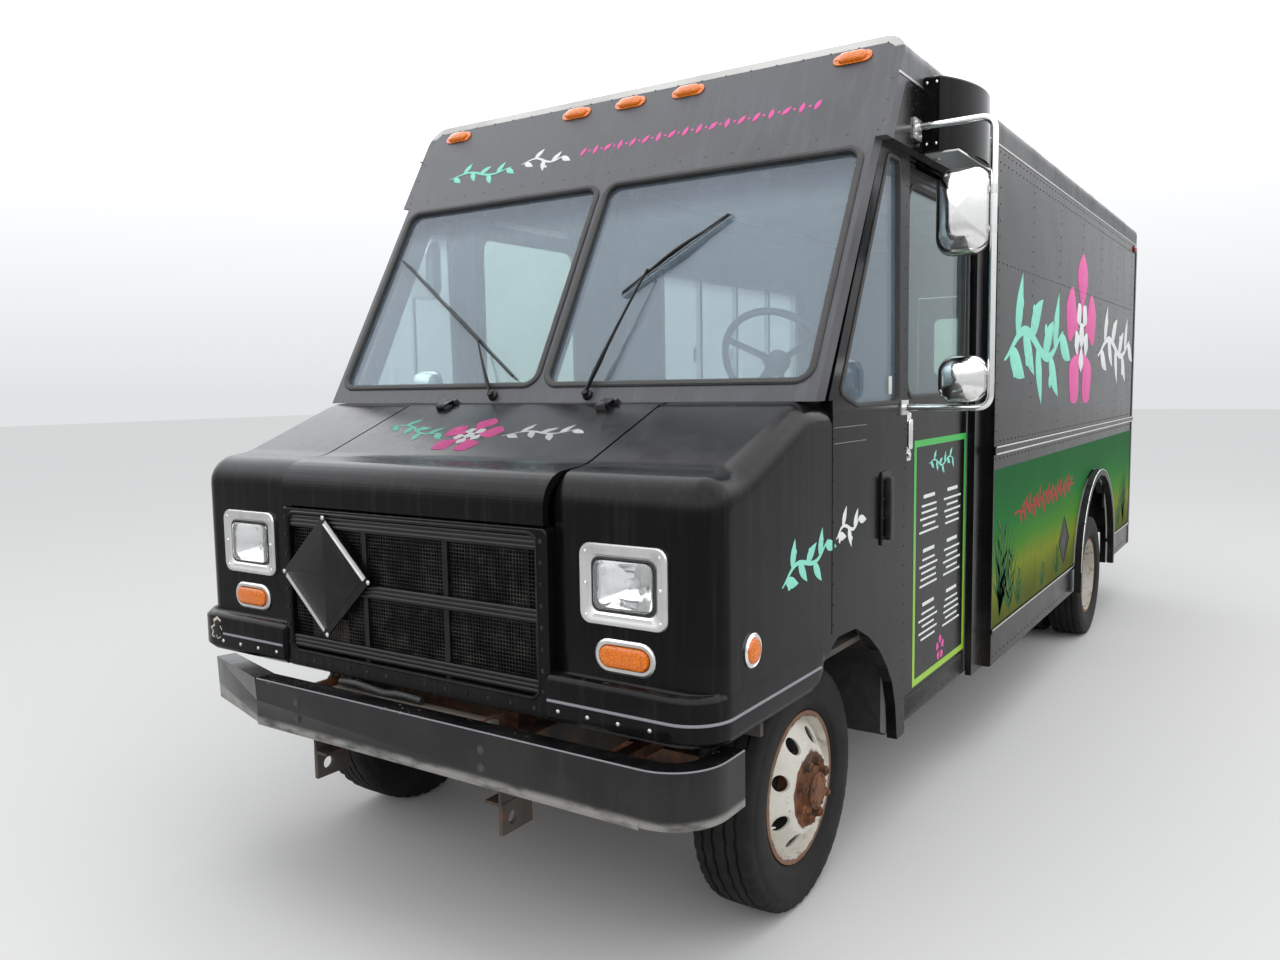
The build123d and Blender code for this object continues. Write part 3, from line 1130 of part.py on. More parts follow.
def cab_door_glass():
    """The pane in a cab door."""
    s0, s1, z0, z1, radius = DOOR_WINDOW
    plane = Plane(origin=(DOOR_FACE - DOOR_SHEET / 2, at((s0 + s1) / 2), (z0 + z1) / 2),
                  x_dir=(0, 1, 0), z_dir=(1, 0, 0))
    return round_window(plane, s1 - s0 - 2 * SEAT_GAP, z1 - z0 - 2 * SEAT_GAP, radius - SEAT_GAP, GLASS / 2)


REAR_WINDOW = (360, 520, REAR_DOORWAY[2] - 710, 60)


def rear_door():
    """A rear leaf with its window opening, three hinge straps and a handle bar."""
    half, foot, head = REAR_DOORWAY
    leaf = block(SWING_GAP / 2, half - 2 * SWING_GAP, BODY_REAR - WALL, BODY_REAR, foot + SWING_GAP, head - SWING_GAP)
    width, height, z, radius = REAR_WINDOW
    centre = (SWING_GAP / 2 + half - 2 * SWING_GAP) / 2
    plane = Plane(origin=(centre, at(BODY_REAR), z + height / 2), x_dir=(-1, 0, 0), z_dir=(0, 1, 0))
    leaf -= round_window(plane, width, height, radius, 100)
    x, s = REAR_HINGE
    for z_hinge in REAR_HINGE_Z:
        low, high = z_hinge - HINGE_HALF, z_hinge + HINGE_HALF
        leaf += block(half - 150, half - 2 * SWING_GAP, BODY_REAR - 2, BODY_REAR + 8, low, high)
        leaf += plan_plate([(half - 60, BODY_REAR), (half - 30, BODY_REAR), (x, s - 8), (x, s + 8),
                            (x - 12, s + 8)], low, high)
        leaf += Pos(x, at(s), z_hinge) * Cylinder(HINGE_R, 2 * HINGE_HALF)
        leaf -= Pos(x, at(s), z_hinge) * Cylinder(HINGE_PIN_R + PIN_GAP, 3 * HINGE_HALF)
    return leaf


def rear_door_glass():
    """The pane in a rear leaf."""
    width, height, z, radius = REAR_WINDOW
    centre = (SWING_GAP / 2 + REAR_DOORWAY[0] - 2 * SWING_GAP) / 2
    plane = Plane(origin=(centre, at(BODY_REAR - WALL / 2), z + height / 2), x_dir=(-1, 0, 0), z_dir=(0, 1, 0))
    return round_window(plane, width - 2 * SEAT_GAP, height - 2 * SEAT_GAP, radius - SEAT_GAP, GLASS / 2)


# Every node by its name. A pair is written as NAME_left and NAME_right.

SINGLES = {
    "frame_rails": frame_rails(),
    "crossmembers": crossmembers(),
    "engine_block": engine_block(),
    "front_axle": front_axle(),
    "rear_axle": rear_axle(),
    "leaf_springs": both_sides(leaf_spring(FRONT_AXLE, BEAM_TOP + SEAT_GAP, 8))
    + both_sides(leaf_spring(REAR_AXLE, REAR_PAD_TOP, 4)),
    "drive_shaft": drive_shaft(),
    "fuel_tank": fuel_tank(),
    "exhaust_pipe": exhaust_pipe(),
    "floor_pan": floor_pan(),
    "wheel_boxes": wheel_boxes(),
    "step_wells": step_wells(),
    "firewall": firewall(),
    "side_wall_left": side_wall(False),
    "side_wall_right": other_side(side_wall(True)),
    "arch_flares": both_sides(arch_flare()),
    "roof": roof(),
    "rear_wall": rear_wall(),
    "windshield_frame": windshield_frame(),
    "wipers": wipers(),
    "window_glass": windshield_glass() + both_sides(quarter_glass()) + serving_glass(),
    "grille": grille(),
    "cab_sides": both_sides(cab_side()),
    "fenders": both_sides(fender()),
    "mirrors": both_sides(mirror_arm()),
    "front_bumper": front_bumper(),
    "rear_bumper": rear_bumper(),
    "headlight_bezels": both_sides(headlight_bezel()),
    "headlights": both_sides(headlight()),
    "amber_lamps": amber_lamps(),
    "tail_lamps": tail_lamps(),
    "side_box": side_box(),
    "dashboard": dashboard(),
    "steering_wheel": steering_wheel(),
    "driver_seat": driver_seat(),
    "kitchen_counters": kitchen_counters(),
    "serving_window": serving_window(),
    "roof_vent": roof_vent(),
    "hood": hood(),
}

PAIRS = {
    "cab_door": cab_door(),
    "cab_door_glass": cab_door_glass(),
    "rear_door": rear_door(),
    "rear_door_glass": rear_door_glass(),
    "knuckle": knuckle(),
    "front_wheel": front_wheel(),
    "front_tyre": tyre(FRONT_TYRE_X, FRONT_AXLE),
    "rear_wheel": rear_wheel(),
    "rear_tyres": [tyre(OUTER_TYRE_X, REAR_AXLE), tyre(INNER_TYRE_X, REAR_AXLE)],
}

for name, shapes in SINGLES.items():
    save(name, shapes)
for name, shapes in PAIRS.items():
    left = shapes if isinstance(shapes, list) else [shapes]
    save(f"{name}_left", left)
    save(f"{name}_right", [other_side(shape) for shape in left])
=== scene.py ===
"""The looks of a weathered black food truck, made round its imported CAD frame.

Sizes are in the part's own millimetres: x towards the driver's side, s the station measured backwards
from the headlight panels, z the height. Meshes are turned to the frame's metres when they are made.
"""

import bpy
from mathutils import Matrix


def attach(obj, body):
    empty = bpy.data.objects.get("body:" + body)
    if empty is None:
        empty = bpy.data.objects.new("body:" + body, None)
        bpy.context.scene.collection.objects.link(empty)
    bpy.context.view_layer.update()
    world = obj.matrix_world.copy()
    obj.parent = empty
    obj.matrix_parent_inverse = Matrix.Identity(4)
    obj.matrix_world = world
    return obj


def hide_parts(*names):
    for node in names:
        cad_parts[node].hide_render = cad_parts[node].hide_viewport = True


bl_info = {
    "name": "Food Truck",
    "version": (1, 0, 0),
    "blender": (4, 5, 0),
    "location": "3D View > Sidebar > Food Truck",
    "description": "Builds the visible surfaces and finishes of a step-van food truck on its CAD frame",
    "category": "Add Mesh",
}

from functools import cache
from math import cos, pi, radians, sin

import bmesh
import bpy
import numpy as np
from mathutils import Matrix

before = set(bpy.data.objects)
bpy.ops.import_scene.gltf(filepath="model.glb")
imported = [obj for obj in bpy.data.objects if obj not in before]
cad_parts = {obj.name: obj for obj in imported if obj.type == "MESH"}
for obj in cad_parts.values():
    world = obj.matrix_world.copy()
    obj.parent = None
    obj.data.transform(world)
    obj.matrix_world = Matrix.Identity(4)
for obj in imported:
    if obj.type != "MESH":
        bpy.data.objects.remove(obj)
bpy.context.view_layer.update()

MIDDLE = 3475  # the station of the frame's origin
BODY_HALF, CAB_HALF, DOOR_FACE = 1170, 1130, 1100  # how far out the body, cab and cab doors stand
BODY_REAR = 6950
ROOF_TOP = 3040
FRONT_AXLE, REAR_AXLE, AXLE_HEIGHT = 816, 5330, 419
SHIELD_STATION, SHIELD_FOOT, LEAN = 667, 1801, radians(28.9)  # the windshield's foot and its slope
SIDES = ("left", "right")


# Surfaces: every shape is a grid of points, worked out as whole arrays


class Shape:
    """Points as (x, s, z) in millimetres and faces as rows of four corners."""

    def __init__(self, points, faces):
        self.points = np.asarray(points, float).reshape(-1, 3)
        self.faces = np.asarray(faces, int).reshape(-1, 4)

    def __add__(self, other):
        return Shape(np.vstack((self.points, other.points)),
                     np.vstack((self.faces, other.faces + len(self.points))))

    def mirrored(self):
        """The same shape on the other side of the truck: x becomes -x."""
        return Shape(self.points * (-1, 1, 1), self.faces[:, ::-1])


def joined(shapes):
    """Several shapes as one."""
    total = shapes[0]
    for shape in shapes[1:]:
        total = total + shape
    return total


def both_sides(shape):
    """A shape and its mirror image."""
    return shape + shape.mirrored()


class Plane:
    """A flat frame to draw on: a point is origin + u right + v up + h out, and out is right x up."""

    def __init__(self, origin, right, up):
        self.origin, self.right, self.up = (np.array(v, float) for v in (origin, right, up))
        self.out = np.cross(self.right, self.up)

    def at(self, flat, height=0.0):
        flat = np.asarray(flat, float)
        height = np.broadcast_to(np.asarray(height, float), flat.shape[:-1])
        return (self.origin + flat[..., :1] * self.right + flat[..., 1:2] * self.up
                + height[..., None] * self.out)

    def raised(self, height):
        """The same frame, moved outwards."""
        return Plane(self.at((0, 0), height), self.right, self.up)


def front(s, x=0, z=0):
    """A plane that faces the front."""
    return Plane((x, s, z), (1, 0, 0), (0, 0, 1))


def left(x, s=0, z=0):
    """A plane that faces the driver's side, with u the station and v the height."""
    return Plane((x, s, z), (0, 1, 0), (0, 0, 1))


def left_down(x):
    """A plane that faces the driver's side, with u downwards and v the station, for upright strips."""
    return Plane((x, 0, 0), (0, 0, -1), (0, 1, 0))


def rear(s):
    """A plane that faces the rear, with u to the right of someone behind the truck."""
    return Plane((0, s, 0), (-1, 0, 0), (0, 0, 1))


def flat_up(z):
    """A plane that faces up, with u across and v the station."""
    return Plane((0, 0, z), (1, 0, 0), (0, 1, 0))


def front_up(s):
    """A plane that faces the front, with u upwards and v towards the curb side, for upright posts."""
    return Plane((0, s, 0), (0, 0, 1), (-1, 0, 0))


FLAT = flat_up(0)
SHIELD = Plane((0, SHIELD_STATION, SHIELD_FOOT), (1, 0, 0), (0, sin(LEAN), cos(LEAN)))


def shield_v(z):
    """How far up the leaning windshield plane a height lies."""
    return (z - SHIELD_FOOT) / cos(LEAN)


def unit(vectors):
    """Vectors divided by their lengths."""
    return vectors / np.linalg.norm(vectors, axis=-1, keepdims=True)


def full_turn(steps):
    """Angles that share out a whole turn."""
    return np.arange(steps) * 2 * pi / steps


def pairs(us, vs):
    """Every spot whose u is one of the first values and whose v is one of the second."""
    return np.stack(np.meshgrid(us, vs, indexing="ij"), -1).reshape(-1, 2)


def skin(grid, wrap_rows=False, wrap_columns=False):
    """A surface over a grid: each cell between neighbouring rows and columns is one face."""
    rows, columns = grid.shape[:2]
    index = np.arange(rows * columns).reshape(rows, columns)
    if wrap_rows:
        index = np.vstack((index, index[:1]))
    if wrap_columns:
        index = np.hstack((index, index[:, :1]))
    cells = np.stack((index[:-1, :-1], index[1:, :-1], index[1:, 1:], index[:-1, 1:]), -1)
    return Shape(grid, cells)


def capped(rows):
    """Closed rows with one more at each end, whose points all lie at that end row's middle."""
    middles = rows.mean(1, keepdims=True)
    return np.concatenate((np.repeat(middles[:1], rows.shape[1], 1), rows,
                           np.repeat(middles[-1:], rows.shape[1], 1)))


def arcs(before, corners, after, reach, steps):
    """Each corner P is cut at a reach on both edges, at A and B, and rounded by the curve
    (1-t)^2 A + 2t(1-t) P + t^2 B."""
    a, b = (corners + unit(other - corners) * reach for other in (before, after))
    t = np.linspace(0, 1, steps)[None, :, None]
    curve = (1 - t) ** 2 * a[:, None] + 2 * t * (1 - t) * corners[:, None] + t ** 2 * b[:, None]
    return curve.reshape(-1, corners.shape[1])


def softened(corners, radius):
    """A closed outline whose corners are rounded as in arcs."""
    corners = np.asarray(corners, float)
    return arcs(np.roll(corners, 1, 0), corners, np.roll(corners, -1, 0), radius, steps=5)


def bent(points, radius, steps=8):
    """An open path of straight runs whose inner corners are rounded as in arcs."""
    points = np.asarray(points, float)
    return np.vstack((points[:1], arcs(points[:-2], points[1:-1], points[2:], radius, steps), points[-1:]))


def rounded(width, height, radius, u=0, v=0, steps=6):
    """A rounded rectangle about (u, v): each corner is a quarter circle, at centre + r (cos, sin)."""
    angle = np.linspace(0, pi / 2, steps)[None] + np.arange(4)[:, None] * pi / 2
    centre = np.array([(1, 1), (-1, 1), (-1, -1), (1, -1)]) * (width / 2 - radius, height / 2 - radius)
    ring = centre[:, None] + radius * np.stack((np.cos(angle), np.sin(angle)), -1)
    return ring.reshape(-1, 2) + (u, v)


def disc(radius, u=0, v=0, steps=32):
    """A circle about (u, v)."""
    angle = full_turn(steps)
    return np.stack((u + radius * np.cos(angle), v + radius * np.sin(angle)), -1)


def inset(outline, amount):
    """An outline moved inwards: each point goes along the mean of its edges' normals over the cosine
    of half the angle between them."""
    edge = np.roll(outline, -1, 0) - outline
    edge /= np.maximum(np.linalg.norm(edge, axis=1, keepdims=True), 1e-9)
    normal = np.stack((-edge[:, 1], edge[:, 0]), -1)
    mean = normal + np.roll(normal, 1, 0)
    mean /= np.maximum((mean ** 2).sum(1, keepdims=True) / 2, 0.25)
    return outline + mean * amount


def stack(plane, layers, ring=False):
    """Outlines of equal counts laid at heights and joined in turn. A ring joins the last to the
    first; otherwise both ends close on their outline's middle."""
    rows = np.stack([plane.at(outline, height) for outline, height in layers])
    return skin(rows if ring else capped(rows), wrap_rows=ring, wrap_columns=True)


def slab(outline, plane, low, high, bevel=1.0):
    """A flat plate between two heights with its edges bevelled."""
    return stack(plane, [(inset(outline, bevel), low), (outline, low + bevel), (outline, high - bevel),
                         (inset(outline, bevel * 0.3), high - bevel * 0.3), (inset(outline, bevel), high)])


def moulding(outline, profile, plane):
    """A closed profile of (inset, height) steps carried round an outline, as a frame or gasket."""
    return stack(plane, [(inset(outline, step), height) for step, height in profile], ring=True)


def collar(plane, rows):
    """A ring of rounded rectangles. Columns: width, height, corner radius, level over the plane."""
    return stack(plane, [(rounded(w, h, radius), level) for w, h, radius, level in rows], ring=True)


def dome(outline, plane, foot, wall, top, rings=6):
    """A crowned lens: a straight wall, then the outline shrinks by t as its height rises by
    (top - wall) sqrt(1 - t^2)."""
    middle = outline.mean(0)
    return stack(plane, [(outline, foot)] + [
        (middle + (outline - middle) * t, wall + (top - wall) * (1 - t * t) ** 0.5)
        for t in shrinking(rings + 1)])


def shrinking(steps, start=0.0):
    """The cosines of even steps over a quarter turn, without the last, 0: how a crown shrinks."""
    return np.cos(np.linspace(start, pi / 2, steps))[:-1]


def box(x, s, z, bevel=1.5):
    """A block with bevelled edges between pairs of limits."""
    outline = np.array([(x[0], s[0]), (x[1], s[0]), (x[1], s[1]), (x[0], s[1])], float)
    return slab(outline, FLAT, z[0], z[1], bevel)


def beam(section, plane, start, end):
    """A straight bar: a closed section of (v, h) carried along u between two ends."""
    section = np.asarray(section, float)
    rows = [plane.at(np.stack((np.full(len(section), u), section[:, 0]), -1), section[:, 1])
            for u in (start, end)]
    return skin(capped(np.stack(rows)), wrap_columns=True)


def lathe(profile, centre, axis=(1, 0, 0), steps=48, closed=False):
    """A profile of (along, radius) turned about an axis: centre + along axis + radius (cos, sin)."""
    axis = np.array(axis, float)
    across = np.array((0, 0, 1.0)) if abs(axis[2]) < 0.9 else np.array((1.0, 0, 0))
    across = unit(across - axis * (across @ axis))
    along, radius = np.array(profile, float).T
    angle = full_turn(steps)
    circle = np.cos(angle)[:, None] * across + np.sin(angle)[:, None] * np.cross(axis, across)
    grid = np.array(centre) + along[:, None, None] * axis + radius[:, None, None] * circle
    return skin(grid, wrap_rows=closed, wrap_columns=True)


def knob(profile, steps):
    """A profile of (height, radius) turned about a plane's outward direction, to spread over it."""
    return lathe(profile, (0, 0, 0), (0, 0, 1), steps)


def button(radius, height, steps=8):
    """A low round head to spread as a rivet: the profile rises and closes in like a dome."""
    return knob([(-0.6, 0), (-0.6, radius), (height * 0.45, radius * 0.86), (height * 0.85, radius * 0.5),
                 (height, 0)], steps)


def bolt_head(radius, height, washer=1.0):
    """A hexagon head on a washer, to spread over a plane."""
    return (knob([(-0.6, 0), (-0.6, radius), (height * 0.8, radius), (height, radius * 0.85),
                  (height, 0)], 6)
            + knob([(-0.8, 0), (-0.8, radius * 1.4), (washer, radius * 1.35), (washer, 0)], 16))


def tube(path, radius, sides=12, squash=1.0):
    """A round bar along a path: each point gets a circle across the path's tangent. The circle's
    first axis is square to the path's own plane, found as its least direction."""
    path = np.asarray(path, float)
    tangent = unit(np.gradient(path, axis=0))
    side = unit(np.cross(tangent, np.linalg.svd(tangent)[2][-1]))
    up = np.cross(side, tangent)
    angle = full_turn(sides)[None, :, None]
    radius = np.broadcast_to(np.asarray(radius, float), len(path))[:, None, None]
    rings = path[:, None] + radius * (np.cos(angle) * side[:, None] + squash * np.sin(angle) * up[:, None])
    return skin(capped(rings), wrap_columns=True)


def flow(points):
    """A smooth path through points: between two of them it is the cubic whose slopes are half the
    chord of their neighbours, taken at ten places."""
    points = np.asarray(points, float)
    padded = np.vstack((2 * points[0] - points[1], points, 2 * points[-1] - points[-2]))
    p0, p1, p2, p3 = (padded[i:len(points) - 1 + i, None] for i in range(4))
    t = np.linspace(0, 0.9, 10)[None, :, None]
    curve = p1 + (p2 - p0) / 2 * t + (p0 - 2.5 * p1 + 2 * p2 - p3 / 2) * t ** 2
    curve = curve + (1.5 * (p1 - p2) + (p3 - p0) / 2) * t ** 3
    return np.vstack((curve.reshape(-1, points.shape[1]), points[-1:]))


def strip(a, b, plane, low, high):
    """A flat band between two edges of equal counts and between two heights."""
    grid = np.stack((plane.at(a, low), plane.at(a, high), plane.at(b, high), plane.at(b, low)), 1)
    return skin(capped(grid), wrap_columns=True)


def ribbon(path, width, plane, low, high):
    """A flat stroke: its edges lie half a width either side of the path."""
    path = np.asarray(path, float)
    tangent = unit(np.gradient(path, axis=0))
    reach = np.stack((-tangent[:, 1], tangent[:, 0]), -1)
    reach = reach * np.broadcast_to(np.asarray(width, float) / 2, len(path))[:, None]
    return strip(path + reach, path - reach, plane, low, high)


def spread(shape, spots, plane, turns=0.0):
    """Copies of a shape drawn at a plane's origin in (u, v, h), one at each (u, v) spot and turned
    there by an angle."""
    spots = np.asarray(spots, float).reshape(-1, 2)
    turns = np.broadcast_to(np.asarray(turns, float), len(spots))
    c, s = np.cos(turns)[:, None], np.sin(turns)[:, None]
    u, v, h = shape.points.T
    flat = np.stack((spots[:, :1] + c * u - s * v, spots[:, 1:] + s * u + c * v), -1)
    points = plane.at(flat, np.broadcast_to(h, flat.shape[:2]))
    step = np.arange(len(spots))[:, None, None] * len(shape.points)
    return Shape(points, shape.faces[None] + step)


def line_of(start, end, pitch):
    """Spots in a row from start to end, about a pitch apart."""
    start, end = np.array(start, float), np.array(end, float)
    count = max(int(round(np.linalg.norm(end - start) / pitch)), 1) + 1
    return start + (end - start) * np.linspace(0, 1, count)[:, None]


def evenly(low, high, pitch):
    """The middles of as many equal parts of a span as the pitch goes into it."""
    count = int((high - low) / pitch)
    return low + (np.arange(count) + 0.5) * (high - low) / count


def lines_of(rows, pitch):
    """The spots of several rows. Columns: the start's u and v, the end's u and v."""
    return np.vstack([line_of((u0, v0), (u1, v1), pitch) for u0, v0, u1, v1 in rows])


# Pieces


def piece(name, shape, finish, body="root", slot=None, replaces=(), sharp=32):
    """Makes a shape an object in metres: doubles merged, faces turned outwards, edges past an angle
    kept sharp, riding on its body."""
    mesh = bpy.data.meshes.new(name)
    mesh.from_pydata((shape.points - (0, MIDDLE, 0)) / 1000, [], shape.faces)
    return finished(name, mesh, finish, body, slot, replaces, sharp)


def pair(name, shape, finish, **options):
    """A piece made of a shape on the driver's side and its mirror image."""
    return piece(name, both_sides(shape), finish, **options)


def each_side(name, shape, finish, body, replaces=None, **options):
    """A piece of its own on each side, the driver's first, that rides on its own side's body."""
    for side, handed in zip(SIDES, (shape, shape.mirrored())):
        piece(f"{name}_{side}", handed, finish, f"{body}_{side}",
              replaces=(f"{replaces}_{side}",) if replaces else (), **options)


def finished(name, mesh, finish, body, slot, replaces, sharp, recalculate=True):
    """Cleans a mesh and makes it an object that rides on its body; the slot it is given is not used."""
    work = bmesh.new()
    work.from_mesh(mesh)
    bmesh.ops.remove_doubles(work, verts=work.verts, dist=2e-5)
    bmesh.ops.dissolve_degenerate(work, edges=work.edges, dist=1e-6)
    if recalculate:
        bmesh.ops.recalc_face_normals(work, faces=work.faces)
    work.to_mesh(mesh)
    work.free()
    mesh.shade_smooth()
    mesh.set_sharp_from_angle(angle=radians(sharp))
    mesh.materials.clear()
    mesh.materials.append(finish)
    thing = bpy.data.objects.new(name, mesh)
    bpy.context.scene.collection.objects.link(thing)
    slot = slot or SLOTS[finish.name]
    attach(thing, body)
    if replaces:
        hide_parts(*replaces)
    return thing


def smooth_copy(node, finish, body="root"):
    """A merged copy of a CAD node's mesh, shaded smooth over its curves, in place of the node."""
    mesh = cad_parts[node].data.copy()
    mesh.name = node + "_skin"
    thing = finished(node + "_skin", mesh, finish, body, None, (node,), 28, recalculate=False)
    thing.modifiers.new("flat faces stay flat", "WEIGHTED_NORMAL").keep_sharp = True


def dress(node, finish):
    """Gives a CAD node that stays its finish."""
    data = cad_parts[node]
    if not data.material_slots:
        data.data.materials.append(finish)
    for place in data.material_slots:
        place.material = finish


def lay_on(thing, node):
    """Presses a thin piece down onto a CAD node, 0.8 mm proud of it."""
    press = thing.modifiers.new("laid on", "SHRINKWRAP")
    press.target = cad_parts[node]
    press.wrap_method = "PROJECT"
    press.use_project_x, press.use_project_y, press.use_project_z = False, False, True
    press.use_negative_direction = press.use_positive_direction = True
    press.wrap_mode = "ABOVE_SURFACE"
    press.offset = 0.0008
    graph = bpy.context.evaluated_depsgraph_get()
    mesh = bpy.data.meshes.new_from_object(thing.evaluated_get(graph))
    thing.modifiers.clear()
    thing.data = mesh


# Finishes


class Value:
    """A socket that sums are done with: each operator adds a Math node."""

    def __init__(self, nodes, socket):
        self.nodes, self.socket = nodes, socket

    def __add__(self, other):
        return self.nodes.math("ADD", self, other)

    def __sub__(self, other):
        return self.nodes.math("SUBTRACT", self, other)

    def __rsub__(self, other):
        return self.nodes.math("SUBTRACT", other, self)

    def __mul__(self, other):
        return self.nodes.math("MULTIPLY", self, other)

    def __pow__(self, other):
        return self.nodes.math("POWER", self, other)

    __radd__, __rmul__ = __add__, __mul__

    def between(self, low, high, start=0.0, end=1.0):
        """A smooth step: start below low, end above high."""
        return Value(self.nodes, self.nodes.node(
            "ShaderNodeMapRange", {"interpolation_type": "SMOOTHSTEP"},
            {"Value": self, "From Min": low, "From Max": high, "To Min": start, "To Max": end}).outputs[0])


class Nodes:
    """A node tree under construction."""

    def __init__(self, owner, output):
        owner.use_nodes = True
        self.tree = owner.node_tree
        self.tree.nodes.clear()
        self.output = self.node(output)

    def node(self, kind, settings=None, sockets=None):
        """Adds a node: its settings first, a ramp's stops among them, then its sockets."""
        node = self.tree.nodes.new(kind)
        settings = dict(settings or {})
        stops = settings.pop("stops", None)
        for key, value in settings.items():
            setattr(node, key, value)
        if stops:
            ramp = node.color_ramp
            while len(ramp.elements) < len(stops):
                ramp.elements.new(1.0)
            for element, (position, colour) in zip(ramp.elements, stops):
                element.position, element.color = position, (*colour, 1)
        for key, value in (sockets or {}).items():
            socket = node.inputs[key]
            if isinstance(value, Value):
                value = value.socket
            if isinstance(value, bpy.types.NodeSocket):
                self.tree.links.new(value, socket)
            elif value is not None:
                if socket.type == "RGBA" and len(value) == 3:
                    value = (*value, 1)
                socket.default_value = value
        return node

    def math(self, operation, a, b):
        """A sum of two numbers or sockets."""
        return Value(self, self.node("ShaderNodeMath", {"operation": operation}, {0: a, 1: b}).outputs[0])

    def blend(self, factor, a, b):
        """The shader a where the factor is 0 and b where it is 1."""
        return self.node("ShaderNodeMixShader", None, {0: factor, 1: a, 2: b}).outputs[0]

    def close(self, shader):
        """Joins a shader to the tree's output."""
        self.tree.links.new(shader, self.output.inputs["Surface"])


class Finish(Nodes):
    """A material under construction. Patterns are read at Object coordinates, in metres."""

    def __init__(self, name):
        self.material = bpy.data.materials.new(name)
        super().__init__(self.material, "ShaderNodeOutputMaterial")
        self.place = self.node("ShaderNodeTexCoord").outputs["Object"]

    def axis(self, name, vector=None):
        """One of the coordinates, or of another vector's parts."""
        parts = self.node("ShaderNodeSeparateXYZ", None, {0: self.place if vector is None else vector})
        return Value(self, parts.outputs[name])

    def facing_up(self):
        """How far the surface faces up."""
        return self.axis("Z", self.node("ShaderNodeNewGeometry").outputs["Normal"])

    def noise(self, scale, detail=3.0, stretch=None):
        """Cloudy noise, whose coordinates may be stretched."""
        place = self.place
        if stretch:
            place = self.node("ShaderNodeMapping", None, {"Vector": place, "Scale": stretch}).outputs[0]
        return Value(self, self.node("ShaderNodeTexNoise", None, {
            "Vector": place, "Scale": scale, "Detail": detail, "Roughness": 0.55}).outputs["Fac"])

    def cells(self, scale):
        """The distance to the nearest of scattered points."""
        return Value(self, self.node("ShaderNodeTexVoronoi", None, {
            "Vector": self.place, "Scale": scale}).outputs["Distance"])

    def mix(self, factor, a, b):
        """The colour a where the factor is 0 and b where it is 1."""
        return self.node("ShaderNodeMix", {"data_type": "RGBA"}, {0: factor, 6: a, 7: b}).outputs[2]

    def bump(self, height, depth, normal=None):
        """Relief of a depth in metres."""
        return self.node("ShaderNodeBump", None, {
            "Strength": 1.0, "Distance": depth, "Height": height, "Normal": normal}).outputs[0]

    def clear(self, colour):
        """A shader that lets light through, tinted by a colour."""
        return self.node("ShaderNodeBsdfTransparent", None, {"Color": colour}).outputs[0]

    def shader(self, colour, roughness=0.5, metallic=0.0, normal=None, **constants):
        """The main shader; constants are its other sockets, by their names in small letters."""
        sockets = {"Base Color": colour, "Roughness": roughness, "Metallic": metallic, "Normal": normal}
        sockets.update({key.replace("_", " ").title().replace("Ior", "IOR"): value
                        for key, value in constants.items()})
        return self.node("ShaderNodeBsdfPrincipled", None, sockets).outputs[0]


SLOTS = {}


def material(title, slot="black_paint"):
    """Turns a function that draws a shader on a Finish into one that returns its material, made once
    for each set of values, and notes the slot that its pieces usually have."""
    def wrap(draw):
        @cache
        def made(*values, name=title):
            finish = Finish(name)
            finish.close(draw(finish, *values))
            SLOTS[finish.material.name] = slot
            return finish.material
        return made
    return wrap


def road_dirt(f, top=1.15, foot=0.35):
    """Where road dust lies: thick low down, thin above, broken up by noise."""
    low = f.axis("Z").between(foot, top, 1.0, 0.0)
    return (low * f.noise(5, 5).between(0.3, 0.7, 0.25, 1.0)).between(0.05, 1.1)


DUST = (0.16, 0.145, 0.125)
RUST = (0.19, 0.07, 0.025)
DARK_RUST = (0.07, 0.03, 0.018)
PAPER = (0.7, 0.7, 0.66)


@material("weathered black paint")
def black_paint(f, dust=0.35, gloss=0.16):
    """Gloss black with thin drip streaks, swirls of wiped dust and a dull lower edge."""
    streaks = f.noise(1.0, 4, (34, 34, 0.9)).between(0.48, 0.8)
    smears = f.noise(1.6, 5, (1, 1, 2.2)).between(0.42, 0.72)
    fine = f.noise(160, 2).between(0.55, 0.75)
    veil = (streaks * 0.20 + smears * 0.07 + road_dirt(f) * 0.30 + fine * 0.03) * dust
    up = f.facing_up().between(0.55, 1.0)
    veil = veil + up * f.noise(9, 5).between(0.35, 0.75) * 0.10 * dust
    colour = f.mix(veil, (0.0035, 0.0035, 0.0042), DUST)
    roughness = gloss + veil * 0.8 + f.noise(24, 3).between(0.3, 0.8) * 0.05
    wave = f.bump(f.noise(2.2, 1), 0.004, f.bump(f.noise(260, 1), 0.00012))
    return f.shader(colour, roughness, normal=wave, specular_ior_level=0.11)


@material("dusty header paint")
def header_paint(f):
    """The dusty black of the panel over the windshield, with pale runs."""
    runs = f.noise(1.0, 5, (26, 8, 0.8)).between(0.45, 0.78)
    veil = runs * 0.20 + f.noise(3.5, 5).between(0.35, 0.75) * 0.14 + 0.05
    colour = f.mix(veil, (0.022, 0.022, 0.026), (0.24, 0.245, 0.27))
    return f.shader(colour, 0.34 + veil * 0.8, normal=f.bump(f.noise(220, 1), 0.00015),
                    specular_ior_level=0.36)


@material("satin black grille paint")
def satin_black(f, dust=0.5):
    """Satin black paint with dust in its hollows."""
    veil = f.noise(14, 5).between(0.4, 0.75) * 0.16 * dust + road_dirt(f, 1.0, 0.2) * 0.16 * dust
    colour = f.mix(veil, (0.005, 0.005, 0.0055), DUST)
    return f.shader(colour, 0.34 + veil * 1.2, normal=f.bump(f.noise(180, 2), 0.0002),
                    specular_ior_level=0.2)


